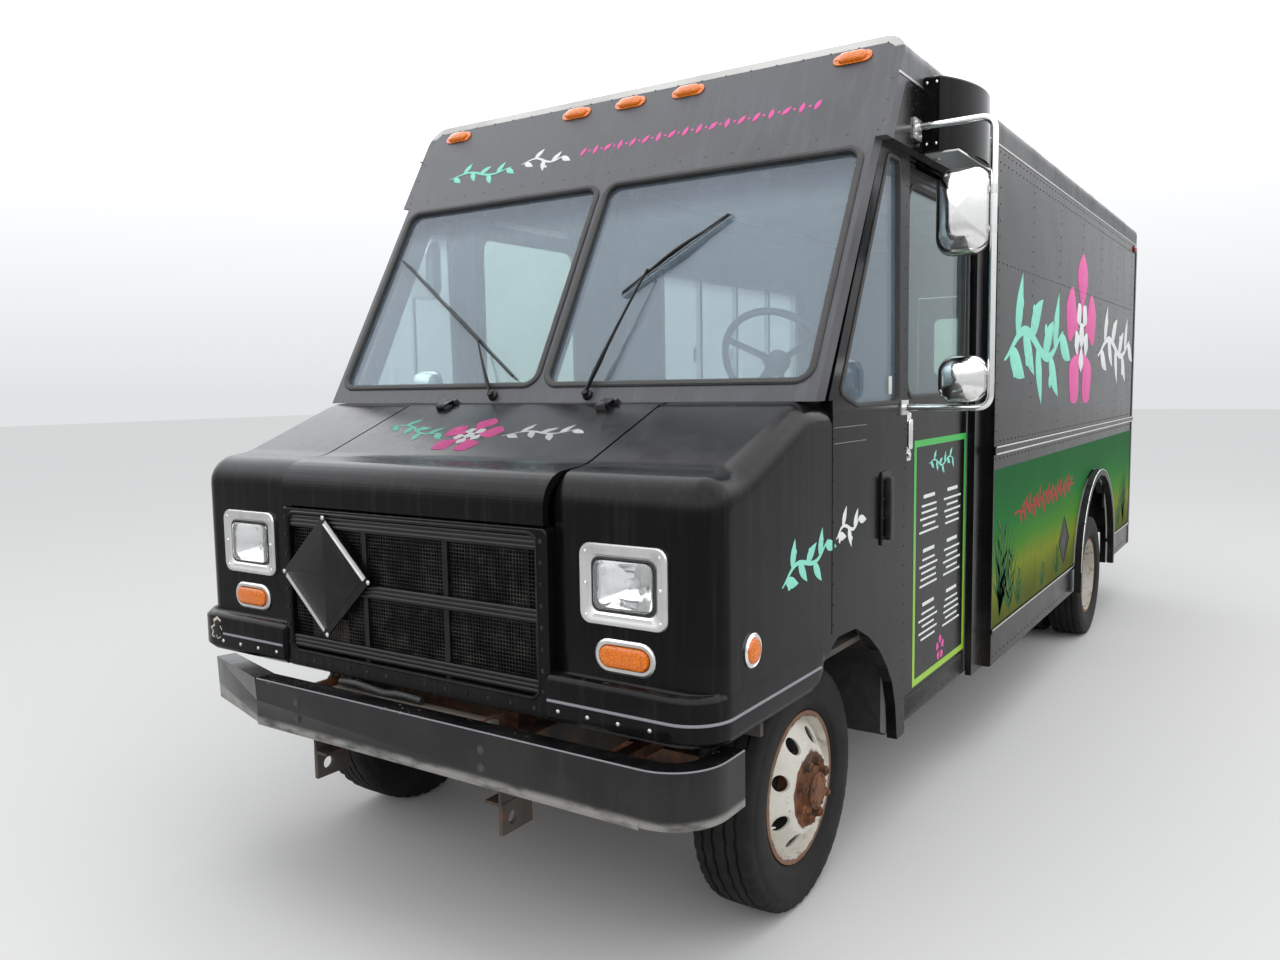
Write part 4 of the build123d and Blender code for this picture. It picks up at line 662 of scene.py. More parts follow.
@material("chipped bumper paint")
def bumper_paint(f):
    """Gloss black chipped to pale primer along its top edge, with a painted highlight: a pale grey band along
    its lower lip.
    """
    z = f.axis("Z")
    chips = f.cells(55).between(0.12, 0.2, 1.0, 0.0) * f.noise(7, 3).between(0.5, 0.62)
    chips = chips * z.between(0.782, 0.797)
    # Painted highlight: a pale band low on the face, broken by noise, stands in for the light caught by the
    # lower lip
    painted_lip_highlight = z.between(0.674, 0.650) * f.noise(10, 4, (1, 1, 3)).between(0.25, 0.6, 0.35, 1.0)
    scratch = f.noise(1.0, 4, (6, 6, 160)).between(0.62, 0.72) * f.noise(3, 2).between(0.5, 0.7)
    # pale joins the real chips and scratches with the painted lip highlight
    pale = (chips + painted_lip_highlight * 0.6 + scratch * 0.18).between(0.0, 1.0)
    veil = road_dirt(f, 1.2, 0.5) * 0.18 + f.noise(1.0, 4, (30, 30, 1.2)).between(0.5, 0.8) * 0.08
    colour = f.mix(pale, f.mix(veil * 0.5, (0.0045, 0.0045, 0.005), DUST), (0.36, 0.35, 0.33))
    return f.shader(colour, 0.16 + veil * 1.2 + pale * 0.35, normal=f.bump(f.noise(3, 2), 0.006),
                    specular_ior_level=0.3)


@material("off-white roof paint", "pale_paint")
def pale_paint(f):
    """Off-white roof paint with grey dirt that has run to the edges, black below its ragged rim."""
    grime = f.noise(2.2, 6).between(0.4, 0.75) * 0.5 + f.noise(1.0, 4, (2, 30, 2)).between(0.5, 0.8) * 0.3
    colour = f.mix(grime, (0.52, 0.52, 0.505), (0.22, 0.21, 0.195))
    edge = (f.axis("Z") + f.noise(14, 4) * 0.012).between(2.990, 3.000)
    return f.shader(f.mix(edge, (0.02, 0.02, 0.023), colour), 0.42 + grime * 0.3)


@material("dirty chassis paint", "chassis_black")
def chassis_paint(f):
    """Chassis black under road dirt and spots of rust."""
    rust = f.noise(9, 6).between(0.52, 0.66)
    dirt = f.noise(3.2, 5).between(0.35, 0.7)
    colour = f.mix(dirt * 0.6, (0.016, 0.015, 0.014), (0.10, 0.088, 0.072))
    colour = f.mix(rust * 0.55, colour, (0.11, 0.045, 0.02))
    return f.shader(colour, 0.62 + dirt * 0.2, normal=f.bump(f.noise(70, 4), 0.0012))


@material("rusty iron", "axle_iron")
def rusty_iron(f):
    """Forged and cast parts, brown with layered rust."""
    colour = f.mix(f.noise(26, 6).between(0.35, 0.68), DARK_RUST, RUST)
    colour = f.mix(f.noise(8, 4).between(0.45, 0.62) * 0.5, colour, (0.055, 0.045, 0.038))
    return f.shader(colour, 0.85, normal=f.bump(f.noise(110, 5), 0.0016))


@material("weathered rubber", "black_rubber")
def dull_rubber(f):
    """Weathered black rubber."""
    bloom = f.noise(30, 4).between(0.4, 0.75)
    return f.shader(f.mix(bloom * 0.35, (0.014, 0.014, 0.014), (0.07, 0.068, 0.064)), 0.62 + bloom * 0.15)


@material("satin aluminium", "satin_aluminium")
def satin_aluminium(f):
    """Satin metal with fine brushed lines and a light haze."""
    lines = f.noise(1.0, 3, (8, 8, 420))
    haze = f.noise(11, 4).between(0.4, 0.75)
    colour = f.mix(haze * 0.4, (0.58, 0.58, 0.57), (0.36, 0.355, 0.34))
    return f.shader(colour, 0.32 + lines * 0.12 + haze * 0.1, 1.0)


@material("dulled chrome", "bright_chrome")
def bright_chrome(f):
    """Chrome with water spots and a little dulling."""
    spots = f.noise(60, 4).between(0.5, 0.75)
    return f.shader(f.mix(spots * 0.35, (0.80, 0.80, 0.79), (0.45, 0.44, 0.42)), 0.09 + spots * 0.2, 1.0)


@material("tinted window glass")
def window_glass(f, tint=(0.82, 0.88, 0.88), band=True, veil=0.14):
    """Clear tinted glass, with a dark band along the top of the windshield, dust and dry runs. Its
    shine is 0.036 face on and rises with the fifth power of how far the surface turns away."""
    haze = (f.noise(1.0, 4, (30, 30, 1.4)).between(0.45, 0.85) * 0.05
            + f.noise(3, 4).between(0.4, 0.8) * 0.05 + veil)
    clear = f.clear(tint)
    if band:
        clear = f.blend(f.axis("Z").between(2.42, 2.60), clear, f.clear((0.13, 0.12, 0.19)))
    facing = Value(f, f.node("ShaderNodeLayerWeight", None, {"Blend": 0.5}).outputs["Facing"])
    pane = f.blend(facing ** 5 * 0.9 + 0.036, clear, f.shader((0.90, 0.95, 1.0), 0.03, 1.0))
    return f.blend(haze, pane, f.shader((0.42, 0.52, 0.64), 0.6))


@material("pressed lamp glass", "lamp_glass")
def lamp_glass(f):
    """The clear pressed glass of a lamp."""
    return f.shader((0.95, 0.96, 0.97), 0.04, transmission_weight=0.92, ior=1.45,
                    normal=f.bump(f.noise(60, 1), 0.0006))


def lens(f, deep, bright):
    """A moulded lens: its small prisms catch the light, and dust greys it a little."""
    dust = f.noise(18, 4).between(0.45, 0.8)
    colour = f.mix(dust * 0.05, f.mix(f.cells(190).between(0.0, 0.7), bright, deep), (0.35, 0.3, 0.25))
    return f.shader(colour, 0.10 + dust * 0.25, normal=f.bump(f.cells(190), 0.0008),
                    coat_weight=0.3, coat_roughness=0.06, specular_ior_level=0.3)


@material("amber lens", "amber_lens")
def amber_lens(f):
    """Orange plastic of the turn and clearance lamps."""
    return lens(f, (0.62, 0.125, 0.002), (0.98, 0.27, 0.006))


@material("red lens", "red_lens")
def red_lens(f):
    """Red plastic of the rear lamps."""
    return lens(f, (0.28, 0.008, 0.006), (0.62, 0.03, 0.02))


@material("dusty tyre rubber", "tyre_rubber")
def tyre_rubber(f):
    """Tyre rubber: grey with dust on the walls, black in the grooves."""
    dust = f.noise(12, 5).between(0.35, 0.75)
    colour = f.mix(dust * 0.55, (0.006, 0.006, 0.006), (0.030, 0.028, 0.026))
    return f.shader(colour, 0.78 + dust * 0.12, normal=f.bump(f.noise(220, 3), 0.0004),
                    specular_ior_level=0.25)


@material("rusting wheel paint", "wheel_white")
def wheel_paint(f, station):
    """White wheel paint that rusts brown round the hub, at the rim's lip and in specks. The radius is
    a point's distance from the axle in the wheel's plane."""
    across, up = f.axis("Y") - (station - MIDDLE) / 1000, f.axis("Z") - AXLE_HEIGHT / 1000
    radius = (across * across + up * up) ** 0.5
    broken = f.noise(22, 6)
    stain = (radius.between(0.172, 0.095) + broken - 0.5).between(0.45, 0.75)
    lip = (radius.between(0.226, 0.252) * 0.9 + broken - 0.5).between(0.42, 0.8)
    specks = f.noise(75, 4).between(0.66, 0.74) * f.noise(6, 3).between(0.4, 0.6)
    rust = (stain + lip * 0.85 + specks).between(0.0, 1.0)
    dust = f.noise(9, 5).between(0.3, 0.75)
    colour = f.mix(dust * 0.5, (0.66, 0.64, 0.58), (0.42, 0.36, 0.28))
    colour = f.mix(rust, colour, f.mix(f.noise(40, 4), DARK_RUST, (0.22, 0.085, 0.03)))
    return f.shader(colour, 0.42 + rust * 0.4, normal=f.bump(rust * f.noise(90, 4), 0.001))


@material("grained dark plastic", "cab_plastic")
def cab_plastic(f):
    """Grained dark plastic."""
    return f.shader((0.035, 0.036, 0.04), 0.52, normal=f.bump(f.cells(420), 0.0004))


@material("seat vinyl", "seat_vinyl")
def seat_vinyl(f):
    """Dark seat vinyl with a leather grain."""
    worn = f.noise(7, 4).between(0.4, 0.75)
    colour = f.mix(worn * 0.5, (0.028, 0.028, 0.032), (0.075, 0.073, 0.072))
    return f.shader(colour, 0.45 + worn * 0.15, normal=f.bump(f.cells(260), 0.0006))


@material("brushed stainless sheet")
def kitchen_steel(f):
    """Brushed stainless sheet."""
    return f.shader((0.60, 0.60, 0.60), 0.24 + f.noise(1.0, 3, (300, 6, 6)) * 0.14, 1.0)


@material("printed film")
def film(f, colour):
    """Printed vinyl film, a little faded and streaked by rain."""
    runs = f.noise(1.0, 4, (40, 40, 1.2)).between(0.5, 0.85)
    faded = tuple(0.75 * c + 0.08 for c in colour)
    dirt = road_dirt(f, 1.3, 0.4)
    colour = f.mix(dirt * 0.1, f.mix(runs * 0.6, colour, faded), DUST)
    return f.shader(colour, 0.52 + dirt * 0.3, specular_ior_level=0.1)


@material("green graphic film", "green_wrap")
def wrap_film(f):
    """The green film of the lower panel: bright green above, yellow then olive below."""
    height = f.axis("Z").between(0.60, 1.36)
    ramp = f.node("ShaderNodeValToRGB",
                  {"stops": [(0.0, (0.070, 0.080, 0.008)), (0.22, (0.17, 0.20, 0.012)),
                             (0.45, (0.050, 0.18, 0.014)), (0.75, (0.010, 0.125, 0.022)),
                             (1.0, (0.005, 0.085, 0.018))]},
                  {0: height + f.noise(1.6, 4) * 0.3 - 0.15}).outputs[0]
    blades = f.noise(1.0, 4, (40, 40, 3.4)).between(0.5, 0.66) * f.axis("Z").between(1.02, 0.78)
    ramp = f.mix(blades * 0.55, ramp, (0.05, 0.12, 0.01))
    dirt = road_dirt(f, 1.0, 0.45)
    return f.shader(f.mix(dirt * 0.10, ramp, DUST), 0.58 + dirt * 0.3, specular_ior_level=0.05)


@material("board border film", "green_wrap")
def board_film(f):
    """The menu board's border: green above, yellow-green below."""
    colour = f.mix(f.axis("Z").between(0.55, 1.55), (0.30, 0.55, 0.02), (0.03, 0.42, 0.06))
    return f.shader(colour, 0.35 + f.noise(20, 3) * 0.1)


# Sizes and colours that a user would change


class TruckSettings(bpy.types.PropertyGroup):
    """The truck's adjustable sizes and colours."""

    rivet_pitch: bpy.props.FloatProperty(name="Rivet pitch", description="Distance between rivets",
                                         default=0.075, min=0.02, unit="LENGTH")
    mesh_pitch: bpy.props.FloatProperty(name="Grille mesh pitch", description="Distance between mesh wires",
                                        default=0.012, min=0.006, unit="LENGTH")
    groove_depth: bpy.props.FloatProperty(name="Tread depth", description="Depth of the tyre grooves",
                                          default=0.009, min=0.002, unit="LENGTH")
    mint: bpy.props.FloatVectorProperty(name="Mint film", description="Colour of the main flourishes",
                                        default=(0.27, 0.71, 0.57), subtype="COLOR")
    pink: bpy.props.FloatVectorProperty(name="Pink film", description="Colour of the blossoms",
                                        default=(0.72, 0.13, 0.37), subtype="COLOR")
    pale: bpy.props.FloatVectorProperty(name="White film", description="Colour of the pale flourishes",
                                        default=(0.76, 0.78, 0.78), subtype="COLOR")


def films(settings):
    """The three flourish films by colour name."""
    return {"mint": film(tuple(settings.mint), name="mint film"),
            "pink": film(tuple(settings.pink), name="pink film"),
            "pale": film(tuple(settings.pale), name="white film")}


FLOOR_REACH, FLOOR_COLOUR = 60, (0.78, 0.78, 0.775)
# What the camera and mirrors see of the world: how far up a direction points, how bright it is there
SKY = ((0.0, 0.77), (0.16, 1.0), (0.50, 3.5))
SKY_TINT = (0.985, 1.0, 1.02)
LIGHT_COLOUR, LIGHT_LEVEL = (0.975, 0.985, 1.0), 0.88
# Columns: name, place and aim in metres, size in metres, power in watts
LAMPS = (("top light", (1.0, -1.5, 8.5), (0, 0, 1), 9.0, 240),
         ("front light", (3.0, -9.5, 5.0), (0, -2, 1.2), 5.0, 90),
         ("side light", (9.5, 0.5, 5.0), (0, 0, 1.3), 6.0, 110))
# The camera's place in metres and, in degrees, how far it is turned left, down and rolled
CAMERA_PLACE, CAMERA_ANGLES = (2.4076, -5.7384, 1.8013), (33.739, 5.3588, -0.8506)
CAMERA_SENSOR, CAMERA_LENS, CAMERA_REACH = 36, 28.25, 200


def facing(place, z, x):
    """The matrix of something at a place whose own Z and X axes point along z and x."""
    turn = np.eye(4)
    turn[:3] = np.stack((x, np.cross(z, x), z, place), -1)
    return Matrix(turn.tolist())


class TRUCK_OT_stage(bpy.types.Operator):
    """Pale floor, soft studio light and the camera of the reference view"""

    bl_idname = "truck.stage"
    bl_label = "Stage"

    def execute(self, context):
        add = context.scene.collection.objects.link
        finish = Finish("pale floor")
        finish.close(finish.shader(FLOOR_COLOUR, 1.0, specular_ior_level=0.0))
        mesh = bpy.data.meshes.new("floor")
        corners = [(x * FLOOR_REACH, y * FLOOR_REACH, 0) for x, y in ((-1, -1), (1, -1), (1, 1), (-1, 1))]
        mesh.from_pydata(corners, [], [(0, 1, 2, 3)])
        mesh.materials.append(finish.material)
        floor = bpy.data.objects.new("floor", mesh)
        add(floor)

        world = bpy.data.worlds.new("soft light")
        context.scene.world = world
        w = Nodes(world, "ShaderNodeOutputWorld")
        way = w.node("ShaderNodeTexCoord").outputs["Generated"]
        rise = w.node("ShaderNodeSeparateXYZ", None, {0: way}).outputs["Z"]
        stops = [(place, tuple(level * tint for tint in SKY_TINT)) for place, level in SKY]
        sky = w.node("ShaderNodeValToRGB", {"stops": stops}, {0: rise}).outputs[0]
        seen = w.node("ShaderNodeBackground", None, {"Color": sky}).outputs[0]
        light = w.node("ShaderNodeBackground", None, {"Color": LIGHT_COLOUR, "Strength": LIGHT_LEVEL})
        ray = w.node("ShaderNodeLightPath").outputs
        straight = w.math("MAXIMUM", w.math("MAXIMUM", ray["Is Camera Ray"], ray["Is Glossy Ray"]),
                          ray["Is Transmission Ray"])
        w.close(w.blend(straight, light.outputs[0], seen))

        for name, place, aim, size, power in LAMPS:
            data = bpy.data.lights.new(name, "AREA")
            data.shape, data.size, data.energy = "DISK", size, power
            lamp = bpy.data.objects.new(name, data)
            away = unit(np.array(place, float) - aim)
            lamp.matrix_world = facing(place, away, unit(np.cross((0, 0, 1), away)))
            lamp.visible_glossy = False
            add(lamp)

        turn, down, roll = (radians(angle) for angle in CAMERA_ANGLES)
        ahead = np.array((-sin(turn) * cos(down), cos(turn) * cos(down), -sin(down)))
        right = np.array((cos(turn), sin(turn), 0.0))
        right = right * cos(roll) + np.cross(right, ahead) * sin(roll)
        data = bpy.data.cameras.new("reference view")
        data.sensor_width, data.lens, data.clip_end = CAMERA_SENSOR, CAMERA_LENS, CAMERA_REACH
        camera = bpy.data.objects.new("reference view", data)
        camera.matrix_world = facing(CAMERA_PLACE, -ahead, right)
        add(camera)
        context.scene.camera = camera
        context.scene.view_settings.view_transform = "Standard"
        return {"FINISHED"}


class TRUCK_OT_panels(bpy.types.Operator):
    """Finishes of the CAD nodes that stay, and smooth skins over the curved ones"""

    bl_idname = "truck.panels"
    bl_label = "Panels and chassis"

    def execute(self, context):
        stays = {
            black_paint(): "cab_sides rear_wall cab_door_left cab_door_right rear_door_left"
                           " rear_door_right side_wall_left side_wall_right",
            header_paint(): "windshield_frame",
            chassis_paint(): "frame_rails crossmembers drive_shaft fuel_tank floor_pan wheel_boxes"
                             " step_wells firewall rear_bumper",
            rusty_iron(): "engine_block front_axle rear_axle leaf_springs exhaust_pipe knuckle_left"
                          " knuckle_right",
            kitchen_steel(): "kitchen_counters",
            satin_aluminium(): "serving_window",
            cab_plastic(): "dashboard",
            window_glass(): "window_glass",
            window_glass((0.76, 0.86, 0.81), False, 0.05, name="door glass"):
                "cab_door_glass_left cab_door_glass_right rear_door_glass_left rear_door_glass_right",
        }
        for finish, nodes in stays.items():
            for node in nodes.split():
                dress(node, finish)
        smooth_copy("fenders", black_paint())
        smooth_copy("hood", black_paint(), "hood")
        smooth_copy("front_bumper", bumper_paint())
        smooth_copy("roof", pale_paint())
        smooth_copy("side_box", black_paint(0.2, 0.1, name="glossy box cover"))
        smooth_copy("roof_vent", satin_aluminium())
        return {"FINISHED"}


GRILLE_FACE, GRILLE_HALF, GRILLE_FOOT, GRILLE_HEAD = -45, 556, 895, 1376
PLACARD, PLACARD_WIDE, PLACARD_HIGH = (-365, 1170), 222, 208


class TRUCK_OT_grille(bpy.types.Operator):
    """The nose block's surround, wire mesh, ribbed bars, bolts and blank placard plate"""

    bl_idname = "truck.grille"
    bl_label = "Grille"

    def execute(self, context):
        pitch = context.scene.truck.mesh_pitch * 1000
        plane = front(GRILLE_FACE)
        wide, high = 2 * GRILLE_HALF, GRILLE_HEAD - GRILLE_FOOT
        middle = (GRILLE_FOOT + GRILLE_HEAD) / 2
        outer, inner = rounded(1196, 566, 22, 0, 1115), rounded(wide, high, 30, 0, middle)
        lip = rounded(wide + 22, high + 22, 38, 0, middle)
        surround = stack(plane, [(outer, -85), (outer, -5), (inset(outer, 5), 0), (lip, 0),
                                 (inset(lip, 4), 3), (inner, 0), (inner, -30), (inner, -85)], ring=True)
        piece("grille_surround", surround, black_paint(), replaces=("grille",))

        upright = slab(rounded(2.2, high, 1, 0, 0, 2), FLAT, -1, 1, 0.3)
        level = slab(rounded(wide, 2.2, 1, 0, 0, 2), FLAT, -1, 1, 0.3)
        wires = (spread(upright, pairs(evenly(-GRILLE_HALF, GRILLE_HALF, pitch), [middle]), front(-24))
                 + spread(level, pairs([0], evenly(GRILLE_FOOT, GRILLE_HEAD, pitch)), front(-26)))
        # Heavy dust lightens the wires: real dust, and in part a painted highlight for the shine of the mesh
        piece("grille_mesh", wires, satin_black(2.0, name="grille wire dust and painted highlight"))

        v = np.linspace(-21, 21, 31)
        ridges = np.stack((v, 3 + 3.2 * np.abs(np.cos(v * 3 * pi / 42))), -1)
        section = np.vstack((ridges, [(21, -8), (-21, -8)]))
        bars = [beam(section + (z, -8), plane, -GRILLE_HALF - 4, GRILLE_HALF + 4)
                for z in (925, middle, 1352)]
        post = np.array([(-10, 4), (10, 4), (10, -16), (-10, -16)], float)
        bars += [beam(post + (x, -14), front_up(GRILLE_FACE), GRILLE_FOOT - 3, GRILLE_HEAD + 3)
                 for x in (185, -185)]
        piece("grille_bars", joined(bars), satin_black(0.25, name="satin black trim bars"),
              slot="satin_aluminium")

        edges = [spread(bolt_head(5.5, 3.5), line_of((x, 915), (x, 1360), 62), plane) for x in (577, -577)]
        edges.append(spread(bolt_head(5, 3), line_of((-540, 862), (540, 862), 90), plane))
        piece("grille_bolts", joined(edges), satin_black(1.6, name="dusty screw"), slot="axle_iron")

        corners = np.array([(-PLACARD_WIDE, 0), (0, -PLACARD_HIGH), (PLACARD_WIDE, 0), (0, PLACARD_HIGH)],
                           float) + PLACARD
        plate = (slab(softened(corners, 12), plane, 0.5, 9.6, 1.5)
                 + slab(softened(inset(corners, 26), 8), plane, 9, 11, 0.8))
        piece("placard_plate", plate, satin_black(0.35, name="satin black placard"))
        rail = np.array([(-9, 9), (9, 9), (9, 15), (6, 15), (6, 11.5), (-9, 11.5)], float) + (8, 0)
        rails = []
        for a, b in (corners[:2], corners[2:]):
            x, z = unit(b - a)
            edge = Plane((a[0], GRILLE_FACE, a[1]), (x, 0, z), (-z, 0, x))
            rails.append(beam(rail, edge, 22, np.linalg.norm(b - a) - 22))
        piece("placard_rails", joined(rails), satin_aluminium())
        clips = corners * 0.97 + np.array(PLACARD) * 0.03
        piece("placard_clips", spread(bolt_head(6, 4), clips, plane.raised(9)), satin_aluminium())
        return {"FINISHED"}


HEADLIGHT, TURN_LAMP, SIDE_MARKER = (838, 1247), (839, 1044), (202, 1058)
CLEARANCE_XS, CLEARANCE_Z = (-975, -280, 0, 280, 975), 2972


class TRUCK_OT_lamps(bpy.types.Operator):
    """Headlights in their bezels, turn and marker lamps, tail lamps"""

    bl_idname = "truck.lamps"
    bl_label = "Lamps"

    def execute(self, context):
        plane = front(0, *HEADLIGHT)
        bezel = collar(plane, [(295, 232, 34, 0.5), (295, 232, 34, 9), (290, 227, 33, 13), (272, 209, 30, 14),
                               (262, 199, 28, 11.5), (232, 172, 26, 10.5), (224, 164, 25, 7),
                               (214, 155, 24, 6), (214, 155, 24, 0.5)])
        pair("headlight_bezels_skin", bezel, satin_aluminium(), replaces=("headlight_bezels",))
        seat = collar(plane, [(216, 157, 25, 0.6), (216, 157, 25, 8), (208, 149, 24, 9), (201, 143, 24, 5),
                              (201, 143, 24, 0.6)])
        pair("headlight_seats", seat, dull_rubber())
        screws = spread(button(5.5, 2.6, 10), pairs((-126, 126), (-92, 0, 92)), plane.raised(12))
        pair("bezel_screws", screws, bright_chrome())

        outline = rounded(198, 140, 24)
        pair("headlight_glass", dome(outline, plane, 6, 12, 23, 7), lamp_glass(), replaces=("headlights",))
        # The bowl behind the glass. Columns: size against the glass, level
        deep = [(1.0, 4), (0.97, -4), (0.86, -22), (0.66, -40), (0.38, -52), (0.15, -56)]
        bowl = stack(plane, [(outline * 0.985 * k, h) for k, h in deep[::-1]]
                     + [(outline * k, h - 2) for k, h in deep])
        pair("headlight_reflectors", bowl, bright_chrome())
        bulb = lathe([(-54, 0), (-54, 15), (-30, 15), (-22, 9), (-20, 0)],
                     (HEADLIGHT[0], 0, HEADLIGHT[1]), (0, -1, 0), 20)
        pair("headlight_bulbs", bulb, film((0.7, 0.7, 0.68), name="pale lamp cap"), slot="lamp_glass")

        turn, side = front(0, *TURN_LAMP), left(CAB_HALF)
        amber = [both_sides(dome(rounded(166, 60, 29.9), turn, 1, 14, 23)),
                 both_sides(dome(disc(36, *SIDE_MARKER), side, 1, 10, 18))]
        bases = []
        v = shield_v(CLEARANCE_Z)
        for x in CLEARANCE_XS:
            amber.append(dome(rounded(112, 44, 21.9, x, v), SHIELD, 4, 12, 25))
            bases.append(slab(rounded(150, 50, 24.9, x, v), SHIELD, 0.4, 6, 1.5))
            bases.append(spread(button(6, 3, 8), [(x - 64, v), (x + 64, v)], SHIELD.raised(6)))
        piece("amber_lenses", joined(amber), amber_lens(), replaces=("amber_lamps",))
        piece("clearance_bases", joined(bases), amber_lens())
        grommet = collar(turn, [(206, 98, 48.9, 0.5), (206, 98, 48.9, 5), (194, 86, 42.9, 8.5),
                                (176, 68, 33.9, 8), (168, 61, 30.4, 4), (168, 61, 30.4, 0.5)])
        pair("turn_grommets", grommet, satin_aluminium())
        ring = [(50, 0.5), (50, 5), (47, 7), (43, 5), (40, 8), (37, 7), (37, 0.5)]
        ring = stack(side, [(disc(radius, *SIDE_MARKER), level) for radius, level in ring], ring=True)
        pair("marker_rings", ring, bright_chrome())

        red, rings = [], []
        # Columns: x, height, half width, half height
        for x, z, a, b in ((930, 1000, 75, 50), (930, 1130, 75, 50), (930, 2750, 65, 24)):
            outline = rounded(2 * a - 6, 2 * b - 6, b - 3.1, -x, z)
            red.append(both_sides(dome(outline, rear(BODY_REAR), 1, 9, 16)))
            rings.append(both_sides(moulding(outline, [(-9, 0.5), (-9, 4), (-5, 7), (-1, 6), (-1, 0.5)],
                                             rear(BODY_REAR))))
        corner, wall = rounded(114, 42, 20.9, BODY_REAR - 110, 2840), left(BODY_HALF)
        red.append(both_sides(dome(corner, wall, 1, 10, 20)))
        rings.append(both_sides(moulding(corner, [(-6, 0.5), (-6, 5), (-1, 5.5), (-1, 0.5)], wall)))
        piece("red_lenses", joined(red), red_lens(), replaces=("tail_lamps",))
        piece("tail_grommets", joined(rings), dull_rubber())
        return {"FINISHED"}


# The windshield panes' limits in height and how far out their middles are; the door window's middle
PANE_FOOT, PANE_HEAD, PANE_X = 1812, 2605, 558
DOOR_WINDOW = (1949, 2147.5)


class TRUCK_OT_windshield(bpy.types.Operator):
    """Rubber round the windshield, quarter and door windows, and the two wipers"""

    bl_idname = "truck.windshield"
    bl_label = "Windshield and wipers"

    def execute(self, context):
        bead = [(-15, -1), (-15, 4), (-9, 8), (2, 8), (9, 3), (11, -13.5), (-1, -13.5)]
        pane = rounded(1068, (PANE_HEAD - PANE_FOOT) / cos(LEAN), 55, PANE_X,
                       shield_v((PANE_HEAD + PANE_FOOT) / 2), 9)
        quarter = softened([(835, 1772), (980, 1728), (1390, 1728), (1372, 2600), (1262, 2600)], 24)
        small = [(-12, -1), (-12, 3), (-6, 6), (3, 5), (7, -11), (-0.5, -11)]
        pair("window_rubber", moulding(pane, bead, SHIELD) + moulding(quarter, small, left(CAB_HALF)),
             dull_rubber())
        door = left(DOOR_FACE)
        seal = moulding(rounded(762, 805, 70, *DOOR_WINDOW, 8),
                        [(-12, -1), (-12, 3), (-5, 5), (5, 3), (8, -10), (-0.5, -10)], door)
        frame_line = moulding(rounded(836, 879, 92, *DOOR_WINDOW, 8),
                              [(0, -0.5), (0, 2.2), (7, 2.2), (7, -0.5)], door)
        each_side("door_window_rubber", seal + frame_line, dull_rubber(), "cab_door")

        parts, rubber = [], []
        pivot = knob([(0.5, 0), (0.5, 20), (9, 19), (16, 13), (27, 12), (30, 8), (30, 0)], 20)
        # Columns: pivot x and height, elbow x and height, tip x and height
        for x0, z0, x1, z1, x2, z2 in ((243, 1769, 355, 2215, 630, 2413),
                                       (-209, 1769, -371, 1981, -1020, 2372)):
            start, elbow, tip = (np.array((x, shield_v(z))) for x, z in ((x0, z0), (x1, z1), (x2, z2)))
            parts.append(spread(pivot, [start], SHIELD))
            reach = np.linspace(0, 1, 14)
            wide = 9 - 4.5 * reach + 3 * np.exp(-((reach - 0.22) / 0.1) ** 2)
            parts.append(tube(SHIELD.at(start + np.outer(reach, elbow - start), 22 + 6 * np.sin(reach * pi)),
                              wide, 10, squash=0.7))
            foot = elbow + (elbow - tip) * 0.35
            # Runs along the blade: where they start and end, their height, rise, radius, sides, squash
            for low, high, count, level, rise, radius, sides, squash, into in (
                    (0, 1, 24, 4, 6, 4.2, 8, 1.4, parts), (0.25, 0.75, 16, 9, 10, 4.5, 8, 1.3, parts),
                    (-0.02, 1.02, 24, -5, 0, 2.0, 6, 3.6, rubber)):
                run = foot + np.outer(np.linspace(low, high, count), tip - foot)
                arch = level + rise * np.sin(np.linspace(0, pi, count))
                into.append(tube(SHIELD.at(run, arch), radius, sides, squash=squash))
            parts.append(spread(button(8, 10, 10), [elbow], SHIELD.raised(16)))
        piece("wiper_arms", joined(parts), satin_black(0.3, name="wiper paint"), slot="black_rubber",
              replaces=("wipers",))
        piece("wiper_rubbers", joined(rubber), dull_rubber())
        return {"FINISHED"}


MIRROR_STATION, MIRROR_OUT, MIRROR_TOP, MIRROR_FOOT = 1440, 1450, 2724, 1705


